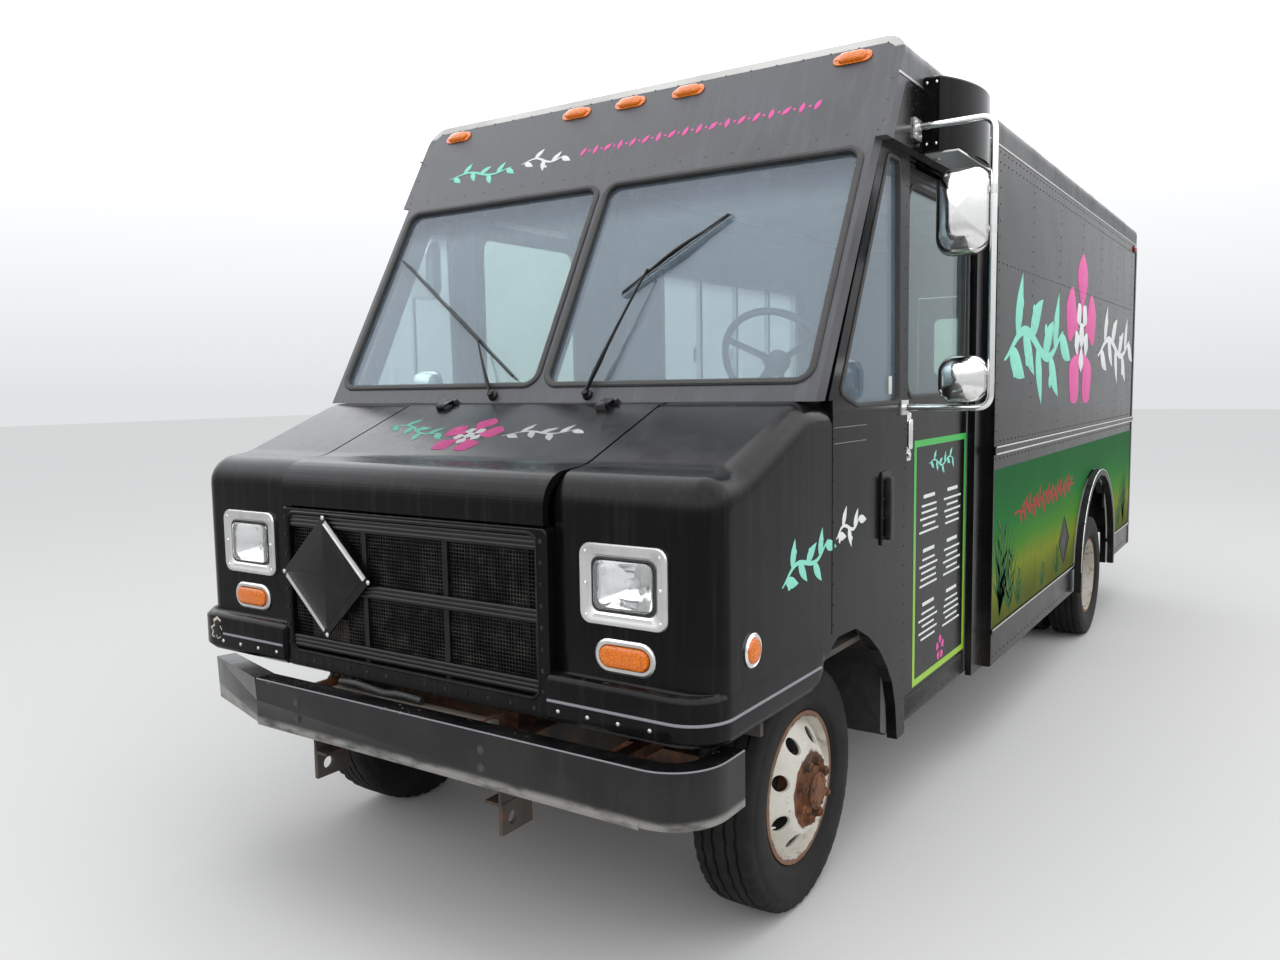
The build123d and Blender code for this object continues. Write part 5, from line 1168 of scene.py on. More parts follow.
class TRUCK_OT_mirrors(bpy.types.Operator):
    """Bent tubes off the cab, each with a tall and a round mirror head"""

    bl_idname = "truck.mirrors"
    bl_label = "Mirrors"

    def execute(self, context):
        s, out, top, foot = MIRROR_STATION, MIRROR_OUT, MIRROR_TOP, MIRROR_FOOT
        path = bent([(BODY_HALF + 1, s, top), (out, s, top), (out, s, foot), (CAB_HALF + 1, s, foot)], 52, 9)
        pair("mirror_arms", tube(path, 12.5, 16), bright_chrome(), replaces=("mirrors",))
        clamps = [box((BODY_HALF + 0.5, BODY_HALF + 8), (s - 38, s + 38), (top - 45, top + 30), 2),
                  box((CAB_HALF + 0.5, CAB_HALF + 8), (s - 38, s + 38), (foot - 28, foot + 28), 2),
                  spread(bolt_head(6, 4), pairs((s - 24, s + 24), (top + 12, top - 30)), left(BODY_HALF + 8)),
                  spread(bolt_head(5, 3), [(s - 26, foot), (s + 26, foot)], left(CAB_HALF + 8))]
        rims, glass, bowls = [], [], []
        # Columns: x, height, half width, half height, depth
        for x, z, a, b, depth in ((1344, 2404, 93, 152, 60), (1352, 1808, 87, 84, 55)):
            plane = front(s - 2, x, z)
            outline = rounded(2 * a, 2 * b, 58, 0, 0, 9)
            layers = [(inset(outline, 4), -13), (outline, -6), (outline, 2)]
            layers += [(outline * t ** 0.72, 2 + (depth + 18) * (1 - t * t) ** 0.5)
                       for t in shrinking(9, 0.12)]
            bowls.append(stack(plane, layers))
            rims.append(moulding(outline, [(-1.5, -6), (-1.5, 3), (3, 5), (4, -8)], plane))
            glass.append(slab(inset(outline, 9), plane, -15.5, -13.2, 0.5))
            for height in ((z - b * 0.45, z + b * 0.45) if b > a else (z,)):
                clamps += [tube([(x + a * 0.6, s, height), (x + a, s, height), (out, s, height)], 8, 10),
                           lathe([(-16, 12), (-16, 13), (16, 13), (16, 12)], (out, s, height), (0, 0, 1), 20,
                                 closed=True),
                           box((out - 32, out - 12), (s - 9, s + 9), (height - 12, height + 12), 2)]
        pair("mirror_bowls", joined(bowls), bright_chrome())
        pair("mirror_rims", joined(rims), dull_rubber())
        pair("mirror_faces", joined(glass), bright_chrome())
        pair("mirror_clamps", joined(clamps), satin_aluminium())
        return {"FINISHED"}


# A tyre's outer half. Columns: along the axle, radius, how far the zigzag moves it, how deep it lies
# in a groove, how far the shoulder notches cut it
TYRE = ((84, 248.5, 0, 0, 0), (84, 262, 0, 0, 0), (92, 268, 0, 0, 0), (101, 284, 0, 0, 0),
        (104, 287, 0, 0, 0), (107, 305, 0, 0, 0), (111, 330, 0, 0, 0), (112, 352, 0, 0, 0),
        (110.5, 372, 0, 0, 0), (107.5, 377, 0, 0, 0), (107.5, 386, 0, 0, 0), (105, 398, 0, 0, 0.3),
        (99, 409, 0, 0, 0.8), (90, 415.5, 0, 0, 1), (80, 417.5, 0, 0, 1), (66, 418, 1, 0, 0.3),
        (64, 418, 1, 1, 0), (56, 418, 1, 1, 0), (54, 418.4, 1, 0, 0), (28, 418.8, -1, 0, 0),
        (26, 418.8, -1, 1, 0), (19, 418.8, -1, 1, 0), (17, 419, -1, 0, 0))
TYRE_STEPS, ZIGZAG, ZIGZAGS = 144, 2.6, 36
FRONT_X, REAR_OUT_X, REAR_IN_X = 905, 1045, 785  # the middles of the wheels


def tread(x, station, groove, lugs):
    """A tyre as one profile turned about its axle: zigzag grooves shift the profile's edges along the
    axle by a triangle wave of the angle, and the shoulders are notched by a second wave."""
    outer = np.array(TYRE)
    profile = np.vstack((outer, outer[::-1] * (-1, 1, -1, 1, 1)))
    angle = full_turn(TYRE_STEPS)
    zigzag = ZIGZAG * (2 / pi) * np.arcsin(np.sin(angle * ZIGZAGS))
    notch = (np.sin(angle * lugs) > 0.35) * groove * 0.9
    along = profile[:, :1] + profile[:, 2:3] * zigzag
    radius = profile[:, 1:2] - profile[:, 3:4] * groove - profile[:, 4:5] * notch
    grid = np.stack((x + along, station + radius * np.cos(angle), AXLE_HEIGHT + radius * np.sin(angle)), -1)
    return skin(grid, wrap_rows=True, wrap_columns=True)


class TRUCK_OT_wheels(bpy.types.Operator):
    """Treaded tyres, rusting wheels with their nuts, hubs and valves"""

    bl_idname = "truck.wheels"
    bl_label = "Wheels"

    def execute(self, context):
        groove = context.scene.truck.groove_depth * 1000
        angles = full_turn(8) + pi / 8
        spots = np.stack((np.cos(angles), np.sin(angles)), -1)
        nut = knob([(-0.5, 0), (-0.5, 21), (5, 21), (6, 17.5), (22, 17.5), (26, 13), (26, 0)], 6)
        stud = knob([(0, 0), (0, 8), (33, 8), (35, 0)], 10)
        # Columns: end of the truck, node of the tyre, middles of its tyres, station, lugs, face of the
        # disc, end and radius of the hub, where the valve comes out
        for end, tyre, middles, station, lugs, face, tip, radius, valve in (
                ("front", "front_tyre", (FRONT_X,), FRONT_AXLE, 48, 1032, 1070, 58, FRONT_X + 60),
                ("rear", "rear_tyres", (REAR_OUT_X, REAR_IN_X), REAR_AXLE, 36, 924, 1075, 62,
                 REAR_OUT_X + 40)):
            body = f"wheel_{end}"
            each_side(f"{end}_tread", joined([tread(x, station, groove, lugs) for x in middles]),
                      tyre_rubber(), body, tyre, sharp=50)
            for side in SIDES:
                finish = wheel_paint(station, name=f"rusting wheel paint {station}")
                smooth_copy(f"{end}_wheel_{side}", finish, f"{body}_{side}")
            centre = (0, station, AXLE_HEIGHT)
            disc_face, hub_face = (left(x, station, AXLE_HEIGHT) for x in (face, tip - 4))
            hub = [spread(nut, spots * 98, disc_face, angles), spread(stud, spots * 98, disc_face),
                   lathe([(face - 1, 70), (face + 3, 124), (face - 1, 127)], centre, steps=40, closed=True),
                   lathe([(tip - 20, radius - 2), (tip - 14, radius + 4), (tip - 8, radius + 4),
                          (tip - 6, radius), (tip + 1, radius - 14), (tip + 1, radius - 22),
                          (tip - 3, radius - 26), (tip - 3, 0)], centre, steps=32),
                   spread(bolt_head(6, 5), spots * (radius - 9), hub_face)]
            drum = lathe([(face - 112, 184), (face - 78, 186), (face - 70, 176), (face - 70, 70),
                          (face - 112, 70)], centre, steps=40, closed=True)
            each_side(f"{end}_drum", drum, dull_rubber(), body, slot="axle_iron")
            each_side(f"{end}_hub", joined(hub), rusty_iron(), body)
            turn = radians(200)
            stem = [(x, station + r * cos(turn), AXLE_HEIGHT + r * sin(turn))
                    for x, r in ((valve - 30, 236), (valve + 4, 228), (valve + 30, 206))]
            each_side(f"{end}_valve", tube(stem, 4, 8), bright_chrome(), body)
        return {"FINISHED"}


def petal(length, width, blunt=0.75, steps=12):
    """A leaf outline: half width w sin(pi t^b) at t of its length, out on one side and back on the
    other."""
    t = np.linspace(0, 1, steps)
    v = width / 2 * np.sin(pi * t ** blunt)
    return np.vstack((np.stack((length * t, -v), -1), np.stack((length * t, v), -1)[-2:0:-1]))


def wave_path(start, end, height, waves, steps=110):
    """A sine across the line from start to end, which dies down towards both of them."""
    start, end = np.array(start, float), np.array(end, float)
    t = np.linspace(0, 1, steps)
    along = unit(end - start)
    rise = height / 2 * np.sin(2 * pi * waves * t) * np.sin(pi * t) ** 0.5
    return start + (end - start) * t[:, None] + np.outer(rise, (-along[1], along[0]))


def sprig(path, length, count, plane, width, low, high):
    """Leaves in turn on both sides of a path, angled off its tangent."""
    pick = np.linspace(len(path) * 0.08, len(path) * 0.92, count).astype(int)
    tangent = np.gradient(path, axis=0)[pick]
    side = np.where(np.arange(count) % 2, 1, -1)
    turns = np.arctan2(tangent[:, 1], tangent[:, 0]) + side * radians(48)
    leaf = slab(petal(length, length * width), FLAT, low, high, 0.3)
    return spread(leaf, path[pick], plane, turns)


def vine(start, end, height, plane, leaves=9, waves=1.0, low=0.2):
    """A leafy vine: a wavy stem that is full at its middle and fine at its ends, broad leaves in turn
    on its sides and a berry past each leaf."""
    path = wave_path(start, end, height * 0.42, waves)
    full = 0.2 + 0.8 * np.sin(pi * np.linspace(0, 1, len(path))) ** 0.7
    pick = np.linspace(len(path) * 0.16, len(path) * 0.84, leaves - 1).astype(int)
    side = np.where(np.arange(leaves - 1) % 2, 1, -1)
    spots = path[pick] + np.stack((np.zeros(leaves - 1), side * height * 0.26), -1)
    berry = slab(disc(height * 0.065, steps=12), FLAT, low, low + 0.95, 0.3)
    return (ribbon(path, height * 0.10 * full, plane, low, low + 1.1)
            + sprig(path, height * 0.62, leaves, plane, 0.40, low, low + 0.8) + spread(berry, spots, plane))


def blossom(u, v, radius, plane, start=0.3, low=0.2, high=1.0):
    """Five round-ended petals turned about a centre, with a gap at the middle."""
    leaf = slab(petal(radius * 0.80, radius * 0.66, 1.5) + (radius * 0.2, 0), FLAT, low, high, 0.3)
    return spread(leaf, np.tile((u, v), (5, 1)), plane, start + full_turn(5))


WALL_BLOSSOM, HOOD_BLOSSOM = (4690, 2080), (-45, 335)
INNER_TURN = 0.93  # how far a blossom's inner petals are turned


class TRUCK_OT_graphics(bpy.types.Operator):
    """Generic flourishes, leaves and blossoms in the colours of the vehicle's own graphics"""

    bl_idname = "truck.graphics"
    bl_label = "Flourishes"

    def execute(self, context):
        colours = films(context.scene.truck)
        side, wall, top = left(CAB_HALF), left(BODY_HALF), flat_up(1760)
        spots = line_of((-170, shield_v(2780)), (880, shield_v(2805)), 62)
        leaf = slab(petal(50, 21, 0.9) - (25, 0), FLAT, 0.2, 1.0, 0.3)
        dot = slab(disc(6, steps=12), FLAT, 0.2, 1.0, 0.3)
        # The curb side's vines stand clear of the serving window at its middle
        strokes = {
            "mint": [vine((-930, shield_v(2755)), (-560, shield_v(2768)), 105, SHIELD, 7),
                     both_sides(vine((395, 1200), (735, 1300), 150, side, 7)),
                     vine((2760, 1900), (4120, 2080), 560, wall, 9),
                     vine((2680, 1880), (3230, 1960), 300, wall, 7).mirrored()],
            "pink": [spread(leaf, spots, SHIELD, radians(65) + 0.35 * np.sin(np.arange(len(spots)) * 2.4)),
                     spread(dot, (spots[:-1] + spots[1:]) / 2, SHIELD),
                     blossom(*WALL_BLOSSOM, 520, wall)],
            "pale": [vine((-505, shield_v(2770)), (-265, shield_v(2778)), 100, SHIELD, 5),
                     both_sides(vine((800, 1290), (1010, 1345), 120, side, 5)),
                     vine((5290, 1960), (6720, 2100), 470, wall, 9),
                     slab(disc(78, *WALL_BLOSSOM), wall, 0.3, 1.4, 0.4),
                     blossom(*WALL_BLOSSOM, 235, wall, INNER_TURN, 0.9, 1.6),
                     vine((5530, 1930), (6760, 2070), 420, wall, 9).mirrored()]}
        for colour, shapes in strokes.items():
            piece(f"{colour}_flourishes", joined(shapes), colours[colour],
                  slot="green_wrap" if colour == "mint" else "black_paint")

        lid = {"mint": vine((-505, 395), (-185, 345), 110, top, 7),
               "pale": (vine((105, 335), (395, 395), 105, top, 7)
                        + slab(disc(20, *HOOD_BLOSSOM), top, 1, 1.8, 0.3)
                        + blossom(*HOOD_BLOSSOM, 62, top, INNER_TURN, 1.0, 1.8)),
               "pink": blossom(*HOOD_BLOSSOM, 135, top)}
        for colour, shape in lid.items():
            lay_on(piece(f"hood_{colour}_flourish", shape, colours[colour], "hood", sharp=60), "hood")
        return {"FINISHED"}


FILM_FOOT, FILM_HEAD = 614, 1376
# The wheel arch: station of its middle, height of its foot, half its length and how high it rises
ARCH, ARCH_FOOT, ARCH_REACH, ARCH_RISE = 5250, 560, 648, 624
# Tufts of grass on the green film. Columns: root's station and height, blades, length, spread, turn
TUFTS = ((2750, 640, 7, 470, 0.9, 1.35), (2950, 640, 5, 300, 1.3, 1.75), (3120, 632, 5, 200, 1.6, 1.4),
         (6640, 640, 7, 420, 0.9, 1.75), (6400, 632, 5, 240, 1.4, 1.5), (4080, 628, 5, 180, 1.6, 1.5),
         (3700, 628, 5, 140, 1.6, 1.6))


class TRUCK_OT_walls(bpy.types.Operator):
    """Green film, rails, rivets, vents and edge trims of the body sides, header and roof"""

    bl_idname = "truck.walls"
    bl_label = "Body sides"

    def execute(self, context):
        pitch = context.scene.truck.rivet_pitch * 1000
        wall, behind = left(BODY_HALF), rear(BODY_REAR)
        s = np.linspace(2604, 6940, 240)
        reach = np.clip(1 - ((s - ARCH) / ARCH_REACH) ** 2, 0, 1)
        foot = np.maximum(ARCH_FOOT + ARCH_RISE * reach ** 0.5, FILM_FOOT)
        edges = (np.stack((s, height), -1) for height in (foot, np.full(len(s), FILM_HEAD)))
        pair("green_film", strip(*edges, wall, 0.3, 0.9), wrap_film())

        blades = []
        for s0, z0, count, length, fan, turn in TUFTS:
            leaf = slab(petal(length, length * 0.085, 0.8), FLAT, 0.8, 1.5, 0.3)
            turns = turn + fan * np.linspace(-0.5, 0.5, count)
            root = wave_path((s0, z0), (s0 + 30, z0 + length * 0.95), 26, 1)
            blades += [spread(leaf, np.tile((s0, z0), (count, 1)), wall, turns),
                       ribbon(root, 9, wall, 0.8, 1.4), sprig(root, length * 0.34, 8, wall, 0.2, 0.8, 1.5)]
        pair("leaf_silhouettes", joined(blades), film((0.012, 0.075, 0.016), name="dark green film"),
             slot="green_wrap")
        band = wave_path((3020, 1120), (4560, 1150), 34, 6, 260)
        pair("red_garland", ribbon(band, 13, wall, 0.8, 1.7) + sprig(band, 84, 34, wall, 0.42, 0.8, 1.5),
             film((0.30, 0.022, 0.018), name="dark red film"), slot="green_wrap")

        ridge = np.array([(0, -1), (0, 2), (3.5, 3.4), (7, 2), (7, -1)])
        # Columns: lower edge, how far the plane stands off the wall, start, end
        strips = [beam(ridge + (z, 0), left(BODY_HALF + off), start, end) for z, off, start, end in (
            (1450, 12.4, 2604, 6946), (1483, 12.4, 2604, 6946), (605, 10.4, 2594, 4600),
            (605, 10.4, 5902, 6946))]
        strips.append(beam([(2874, 0.4), (2874, 2.6), (2882, 3.2), (2882, 0.4)], wall, 1250, 6948))
        pair("bright_rails", joined(strips), satin_aluminium())
        posts = [beam(section, left_down(BODY_HALF), -head, -434) for head, section in (
            (2600, [(2590, 0.5), (2590, 4), (2600, 5), (2612, 1.5), (2612, 0.5)]),
            (2860, [(6908, 0.5), (6908, 4), (6930, 6), (6949, 6), (6949, 0.5)]))]
        pair("corner_trims", joined(posts), black_paint())

        spots = np.vstack((
            lines_of([(1360, 2852, 6890, 2852), (1360, 2806, 6890, 2806), (2640, 2352, 6890, 2352),
                      (2640, 1512, 6890, 1512), (2640, 1428, 6890, 1428), (2640, 470, 4560, 470),
                      (5940, 470, 6890, 470)], pitch),
            lines_of([(u, 1560, u, 2770) for u in (*range(2645, 6726, 680), 6885)], pitch),
            lines_of([(u, 2668, u, 2780) for u in (1330, 1400, 2210)], pitch * 0.7)))
        u, v = spots.T
        clear = (u < 3280) | (u > 5440) | (v < 1480) | (v > 2580)  # of the serving window
        head = button(5.2, 2.4)
        piece("wall_rivets", spread(head, spots, wall) + spread(head, spots[clear], wall).mirrored(),
              black_paint(), sharp=60)
        flat_head = button(5, 1.8)
        low, high = shield_v(2700), shield_v(2860)
        spots = np.vstack((
            lines_of([(-1135, shield_v(2665), 1135, shield_v(2665)),
                      (-1100, shield_v(3010), 1100, shield_v(3010))], pitch * 1.5),
            lines_of([(-1145, low, -1145, high), (1145, low, 1145, high)], pitch)))
        piece("header_rivets", spread(flat_head, spots, SHIELD), header_paint(), sharp=60)
        spots = lines_of([(-1140, 840, -1140, 2840), (1140, 840, 1140, 2840), (-1100, 2800, 1100, 2800),
                          (-1100, 2640, 1100, 2640), (-720, 860, -720, 2560), (720, 860, 720, 2560)], pitch)
        piece("rear_rivets", spread(flat_head, spots, behind), black_paint(), sharp=60)
        seams = range(1700, 6900, 680)
        cross = [slab(rounded(2130, 46, 4, 0, s0, 3), flat_up(ROOF_TOP), 0.2, 2.2, 0.8) for s0 in seams]
        spots = lines_of([(-1040, s0 + d, 1040, s0 + d) for s0 in seams for d in (-13, 13)], pitch * 1.3)
        cross.append(spread(button(4.5, 1.8), spots, flat_up(ROOF_TOP + 2.2)))
        piece("roof_seams", joined(cross), pale_paint(), sharp=60)

        x, z, half = 4290, 815, 150
        diamond = np.array([(x - half, z), (x, z - half), (x + half, z), (x, z + half)], float)
        fittings = [moulding(rounded(64, 190, 10, 5670, 965), [(0, 0.8), (0, 5), (9, 5), (12, 1), (12, 0.8)],
                             wall),
                    slab(rounded(44, 170, 6, 5670, 965), wall, 0.8, 1.4, 0.2),
                    moulding(softened(diamond, 10), [(0, 0.8), (0, 4), (11, 4), (11, 0.8)], wall),
                    slab(softened(inset(diamond, 16), 8), wall, 0.8, 1.6, 0.3)]
        pair("wall_fittings", joined(fittings), satin_black(), sharp=40)
        smooth_copy("arch_flares", satin_black())
        t = np.linspace(0, pi, 60)
        out = np.full(60, BODY_HALF + 50.5)
        lip = np.stack((out, ARCH - 642 * np.cos(t), ARCH_FOOT + 618 * np.sin(t)), -1)
        pair("arch_edges", tube(lip, 3.0, 8), satin_aluminium())
        return {"FINISHED"}


BOARD_COLUMNS, BOARD_BLOCKS = (1725, 2050), (1330, 1105, 880)
SIDE_BOX_START, SIDE_BOX_END, SIDE_BOX_FOOT = 1510, 2130, 2650


class TRUCK_OT_cab(bpy.types.Operator):
    """Door boards, handles, seams, hinges, the side box and the mud flaps"""

    bl_idname = "truck.cab"
    bl_label = "Cab sides and doors"

    def execute(self, context):
        colours = films(context.scene.truck)
        side, door = left(CAB_HALF), left(DOOR_FACE)
        board = np.array([(1664, 560), (2385, 560), (2385, 1566), (1664, 1566)], float)
        border = moulding(board, [(0, 0.3), (0, 1.0), (27, 1.0), (27, 0.3)], door)
        bars = []
        for u in BOARD_COLUMNS:
            for block, top in enumerate(BOARD_BLOCKS):
                # Columns: length, thickness, corner, height of a bar that stands for a line of text
                lines = [(150, 15, 3, top)]
                lines += [(205 + 45 * np.sin(row * 2.7 + block + u), 9, 2, top - 38 - row * 27)
                          for row in range(5)]
                bars += [slab(rounded(length, thick, corner, u + 135, v, 3), door, 0.3, 1.0, 0.2)
                         for length, thick, corner, v in lines]
        seat = softened([(1503, 1495), (1588, 1495), (1588, 1684), (1503, 1684)], 22)
        handle = (slab(seat, door, 0.3, 16, 4)
                  + slab(rounded(44, 120, 18, 1545, 1600), door, 15.5, 30, 6)
                  + lathe([(0, 0), (0, 14), (8, 12), (8, 0)], (DOOR_FACE + 16, 1545, 1520), steps=20))
        rear_strip = beam([(2392, 0.3), (2392, 3), (2400, 4.5), (2408, 3), (2408, 0.3)], left_down(DOOR_FACE),
                          -2600, -455)
        kick = (slab(rounded(900, 90, 10, 1972, 500, 3), door, 0.3, 2, 0.6)
                + spread(button(4.5, 1.8), lines_of([(1540, z, 2405, z) for z in (470, 530)], 86),
                         left(DOOR_FACE + 2)))
        for name, shape, finish, slot in (
                ("board_border", border, board_film(), None),
                ("board_bars", joined(bars), colours["pale"], None),
                ("board_title", vine((1850, 1462), (2200, 1462), 84, door, 9, 1.5), colours["mint"],
                 "green_wrap"),
                ("board_blossom", blossom(2030, 645, 58, door), colours["pink"], None),
                ("door_handle", handle, bright_chrome(), None),
                ("door_rear_strip", rear_strip, satin_aluminium(), None),
                ("door_kick_plate", kick, satin_black(), None)):
            each_side(name, shape, finish, "cab_door", slot=slot)

        rivet = button(4.6, 1.8)
        ridges = [beam([(v, -0.5), (v + 3, 2.4), (v + 6, -0.5)], side, 772, 1062) for v in (1600, 1652)]
        ridges += [beam([(768, -0.4), (768, 1.6), (786, 1.6), (786, -0.4)], left_down(CAB_HALF), -1700, -980),
                   spread(rivet, line_of((777, 1010), (777, 1690), 68), left(CAB_HALF + 1.6)),
                   spread(rivet, line_of((1462, 500), (1462, 2600), 75), side)]
        pair("cab_side_ridges", joined(ridges), black_paint(), sharp=40)
        bracket = [slab(rounded(92, 268, 12, 1250, 1345), side, 0.3, 7, 2),
                   slab(rounded(40, 230, 8, 1250, 1345), side, 6.5, 30, 4),
                   spread(bolt_head(7, 5), pairs((1218, 1282), (1240, 1310, 1380, 1450)), left(CAB_HALF + 7))]
        pair("cab_brackets", joined(bracket), satin_black(), sharp=40)
        tag = slab(rounded(34, 66, 3, 1330, 1790, 3), left(CAB_HALF - 11.6), 0, 0.8, 0.2)
        pair("window_tags", tag, film(PAPER, name="pale paper"), slot="satin_aluminium")

        s0, s1, z0 = SIDE_BOX_START, SIDE_BOX_END, SIDE_BOX_FOOT
        under = box((BODY_HALF + 2, BODY_HALF + 128), (s0 + 20, s1 - 40), (z0 - 9, z0 - 1), 1)
        piece("side_box_plate", under, satin_aluminium())
        fittings = [box((BODY_HALF + 0.6, BODY_HALF + 30), (s, s + 30), (z0 - 12, z0 - 9.2), 0.8)
                    for s in (1600, 2000)]
        fittings.append(spread(button(6, 3, 10), pairs((1184, 1220), (2675, 2895)), front(s0)))
        piece("side_box_fittings", joined(fittings), bright_chrome())
        flap = front(1438)
        pair("mud_flaps", slab(rounded(265, 455, 12, 945, 655), flap, 0.6, 7, 1), dull_rubber())
        pair("mud_flap_hems", slab(rounded(24, 440, 8, 1066, 655), flap, 6.5, 9.5, 1),
             film((0.34, 0.34, 0.33), name="pale scuffed hem"), slot="black_rubber")
        return {"FINISHED"}


def wrapped_edge(start, centre, radius, back, height):
    """A line across the front from x = start, round a quarter circle and back along the driver's side."""
    turn = np.linspace(0, pi / 2, 14)
    corner = np.stack((centre[0] + radius * np.sin(turn), centre[1] - radius * np.cos(turn)), -1)
    plan = np.vstack(([(start, centre[1] - radius)], corner, [(centre[0] + radius, back)]))
    return np.column_stack((plan, np.full(len(plan), height)))


# The broken corner of the nose band on the curb side, as an outline of x and height
TORN = ((-985, 962), (-1012, 948), (-1006, 930), (-1030, 917), (-1018, 902), (-1026, 884), (-1008, 878),
        (-1000, 890), (-988, 874), (-968, 884), (-976, 902), (-958, 914), (-970, 930), (-964, 950))
BUMPER_FACE, BAND_FACE, BEAD_HEIGHT = -150, -60, 900


class TRUCK_OT_bumpers(bpy.types.Operator):
    """Bolts, brackets, hose and cross tube at the front bumper; tread and plate holder at the rear"""

    bl_idname = "truck.bumpers"
    bl_label = "Bumpers"

    def execute(self, context):
        plane, band = front(BUMPER_FACE), front(BAND_FACE)
        bolts = spread(bolt_head(10, 5, 2), pairs((420, -420), (690, 745)), plane)
        piece("bumper_bolts", bolts, film((0.07, 0.066, 0.06), name="dusty bolt heads"), slot="axle_iron")
        lip = beam([(634, 0.5), (634, 2.5), (640, 4), (647, 3), (652, 0.5)], plane, -636, 975)
        piece("bumper_lip", lip, bumper_paint())
        # Painted highlight: a pale grey film for thin lines that stand in for the light caught by bright
        # edges
        worn = film((0.26, 0.265, 0.29), name="painted highlight line")
        # The bumper's top front edge as a thin pale line, a painted highlight
        piece("bumper_edge_painted_highlight", tube(wrapped_edge(-636, (980, 20), 168.5, 118, 798.5), 2.5, 8), worn)
        brackets = [box((x - 46, x + reach), (-66, depth), heights, 2) for x in (-390, 378)
                    for reach, depth, heights in ((46, 60, (729, 741)), (-34, 40, (741, 792)))]
        piece("bumper_brackets", joined(brackets), rusty_iron())
        cross = box((-364, 364), (-58, -6), (738, 786), 5)
        piece("front_cross_tube", cross, film((0.16, 0.145, 0.12), name="dusty beige paint"),
              slot="chassis_black")
        hose = flow([(-330, -34, 806), (-240, -40, 812), (-120, -34, 799), (-40, -36, 806), (60, -34, 801)])
        piece("front_hose", tube(hose, 11 + 1.6 * (np.arange(len(hose)) % 2), 12), dull_rubber())
        tag = slab(rounded(62, 34, 4, 205, 762, 3), front(-58.4), 0.2, 2, 0.4)
        piece("cross_tube_tag", tag, film((0.6, 0.6, 0.57), name="pale tag"), slot="satin_aluminium")
        radiator = beam([(-420, 0), (420, 0), (420, -26), (-420, -26)], front_up(84), 860, 1350)
        fins = spread(slab(rounded(2, 480, 0.9, 0, 0, 2), FLAT, -1, 4, 0.5),
                      pairs(np.linspace(-408, 408, 84), [1105]), front(84))
        piece("radiator_core", radiator + fins, satin_black(0.8, name="dusty radiator"), slot="chassis_black")

        xs = np.array((640, 745, 850, 955))
        screws = spread(button(7, 3, 10), pairs((*xs, *-xs), [872]), band)
        piece("band_screws", screws, satin_aluminium())
        # The beads along the band's lower ledge and round its corner wear the pale film as a painted
        # highlight of the ledge
        beads = [wrapped_edge(602, (1012, 70), 130, 655, BEAD_HEIGHT),
                 [(x, BAND_FACE, BEAD_HEIGHT) for x in (-602, -780, -950)]]
        piece("band_beads_painted_highlight", joined([tube(bead, 4.5, 8) for bead in beads]), worn)
        torn = np.array(TORN, float)
        inner = torn.mean(0) + (torn - torn.mean(0)) * 0.82 + (3, -2)
        piece("broken_corner_edge", slab(torn, band, 0.2, 1.0, 0.3),
              film((0.55, 0.5, 0.4), name="bare glass fibre"))
        piece("broken_corner", slab(inner, band, 0.8, 1.6, 0.3), satin_black())

        us, vs = np.arange(-1010, 1011, 34), np.arange(6985, 7090, 34)
        turns = np.where(np.add.outer(np.arange(len(us)), np.arange(len(vs))) % 2, 0.78, -0.78).ravel()
        lozenge = slab(petal(24, 7, 1.0) - (12, 0), FLAT, -0.4, 1.8, 0.5)
        piece("step_tread", spread(lozenge, pairs(us, vs), flat_up(640), turns), chassis_paint())
        holder = slab(rounded(310, 158, 8, -640, 570), rear(7100), 0.3, 1.8, 0.5)
        piece("plate_holder", holder, film((0.55, 0.55, 0.53), name="pale blank plate"),
              slot="satin_aluminium")
        screws = spread(bolt_head(5, 2, 0.6), [(-740, 635), (-540, 635)], rear(7101.8))
        piece("plate_screws", screws, rusty_iron())
        return {"FINISHED"}


REAR_DOOR_MIDDLE, LOCK_ROD_X, LOCK_HEIGHT = 309.75, -60, 1420
# The serving window: its limits as stations and heights
SERVING_START, SERVING_END, SERVING_FOOT, SERVING_HEAD = 3310, 5410, 1500, 2560


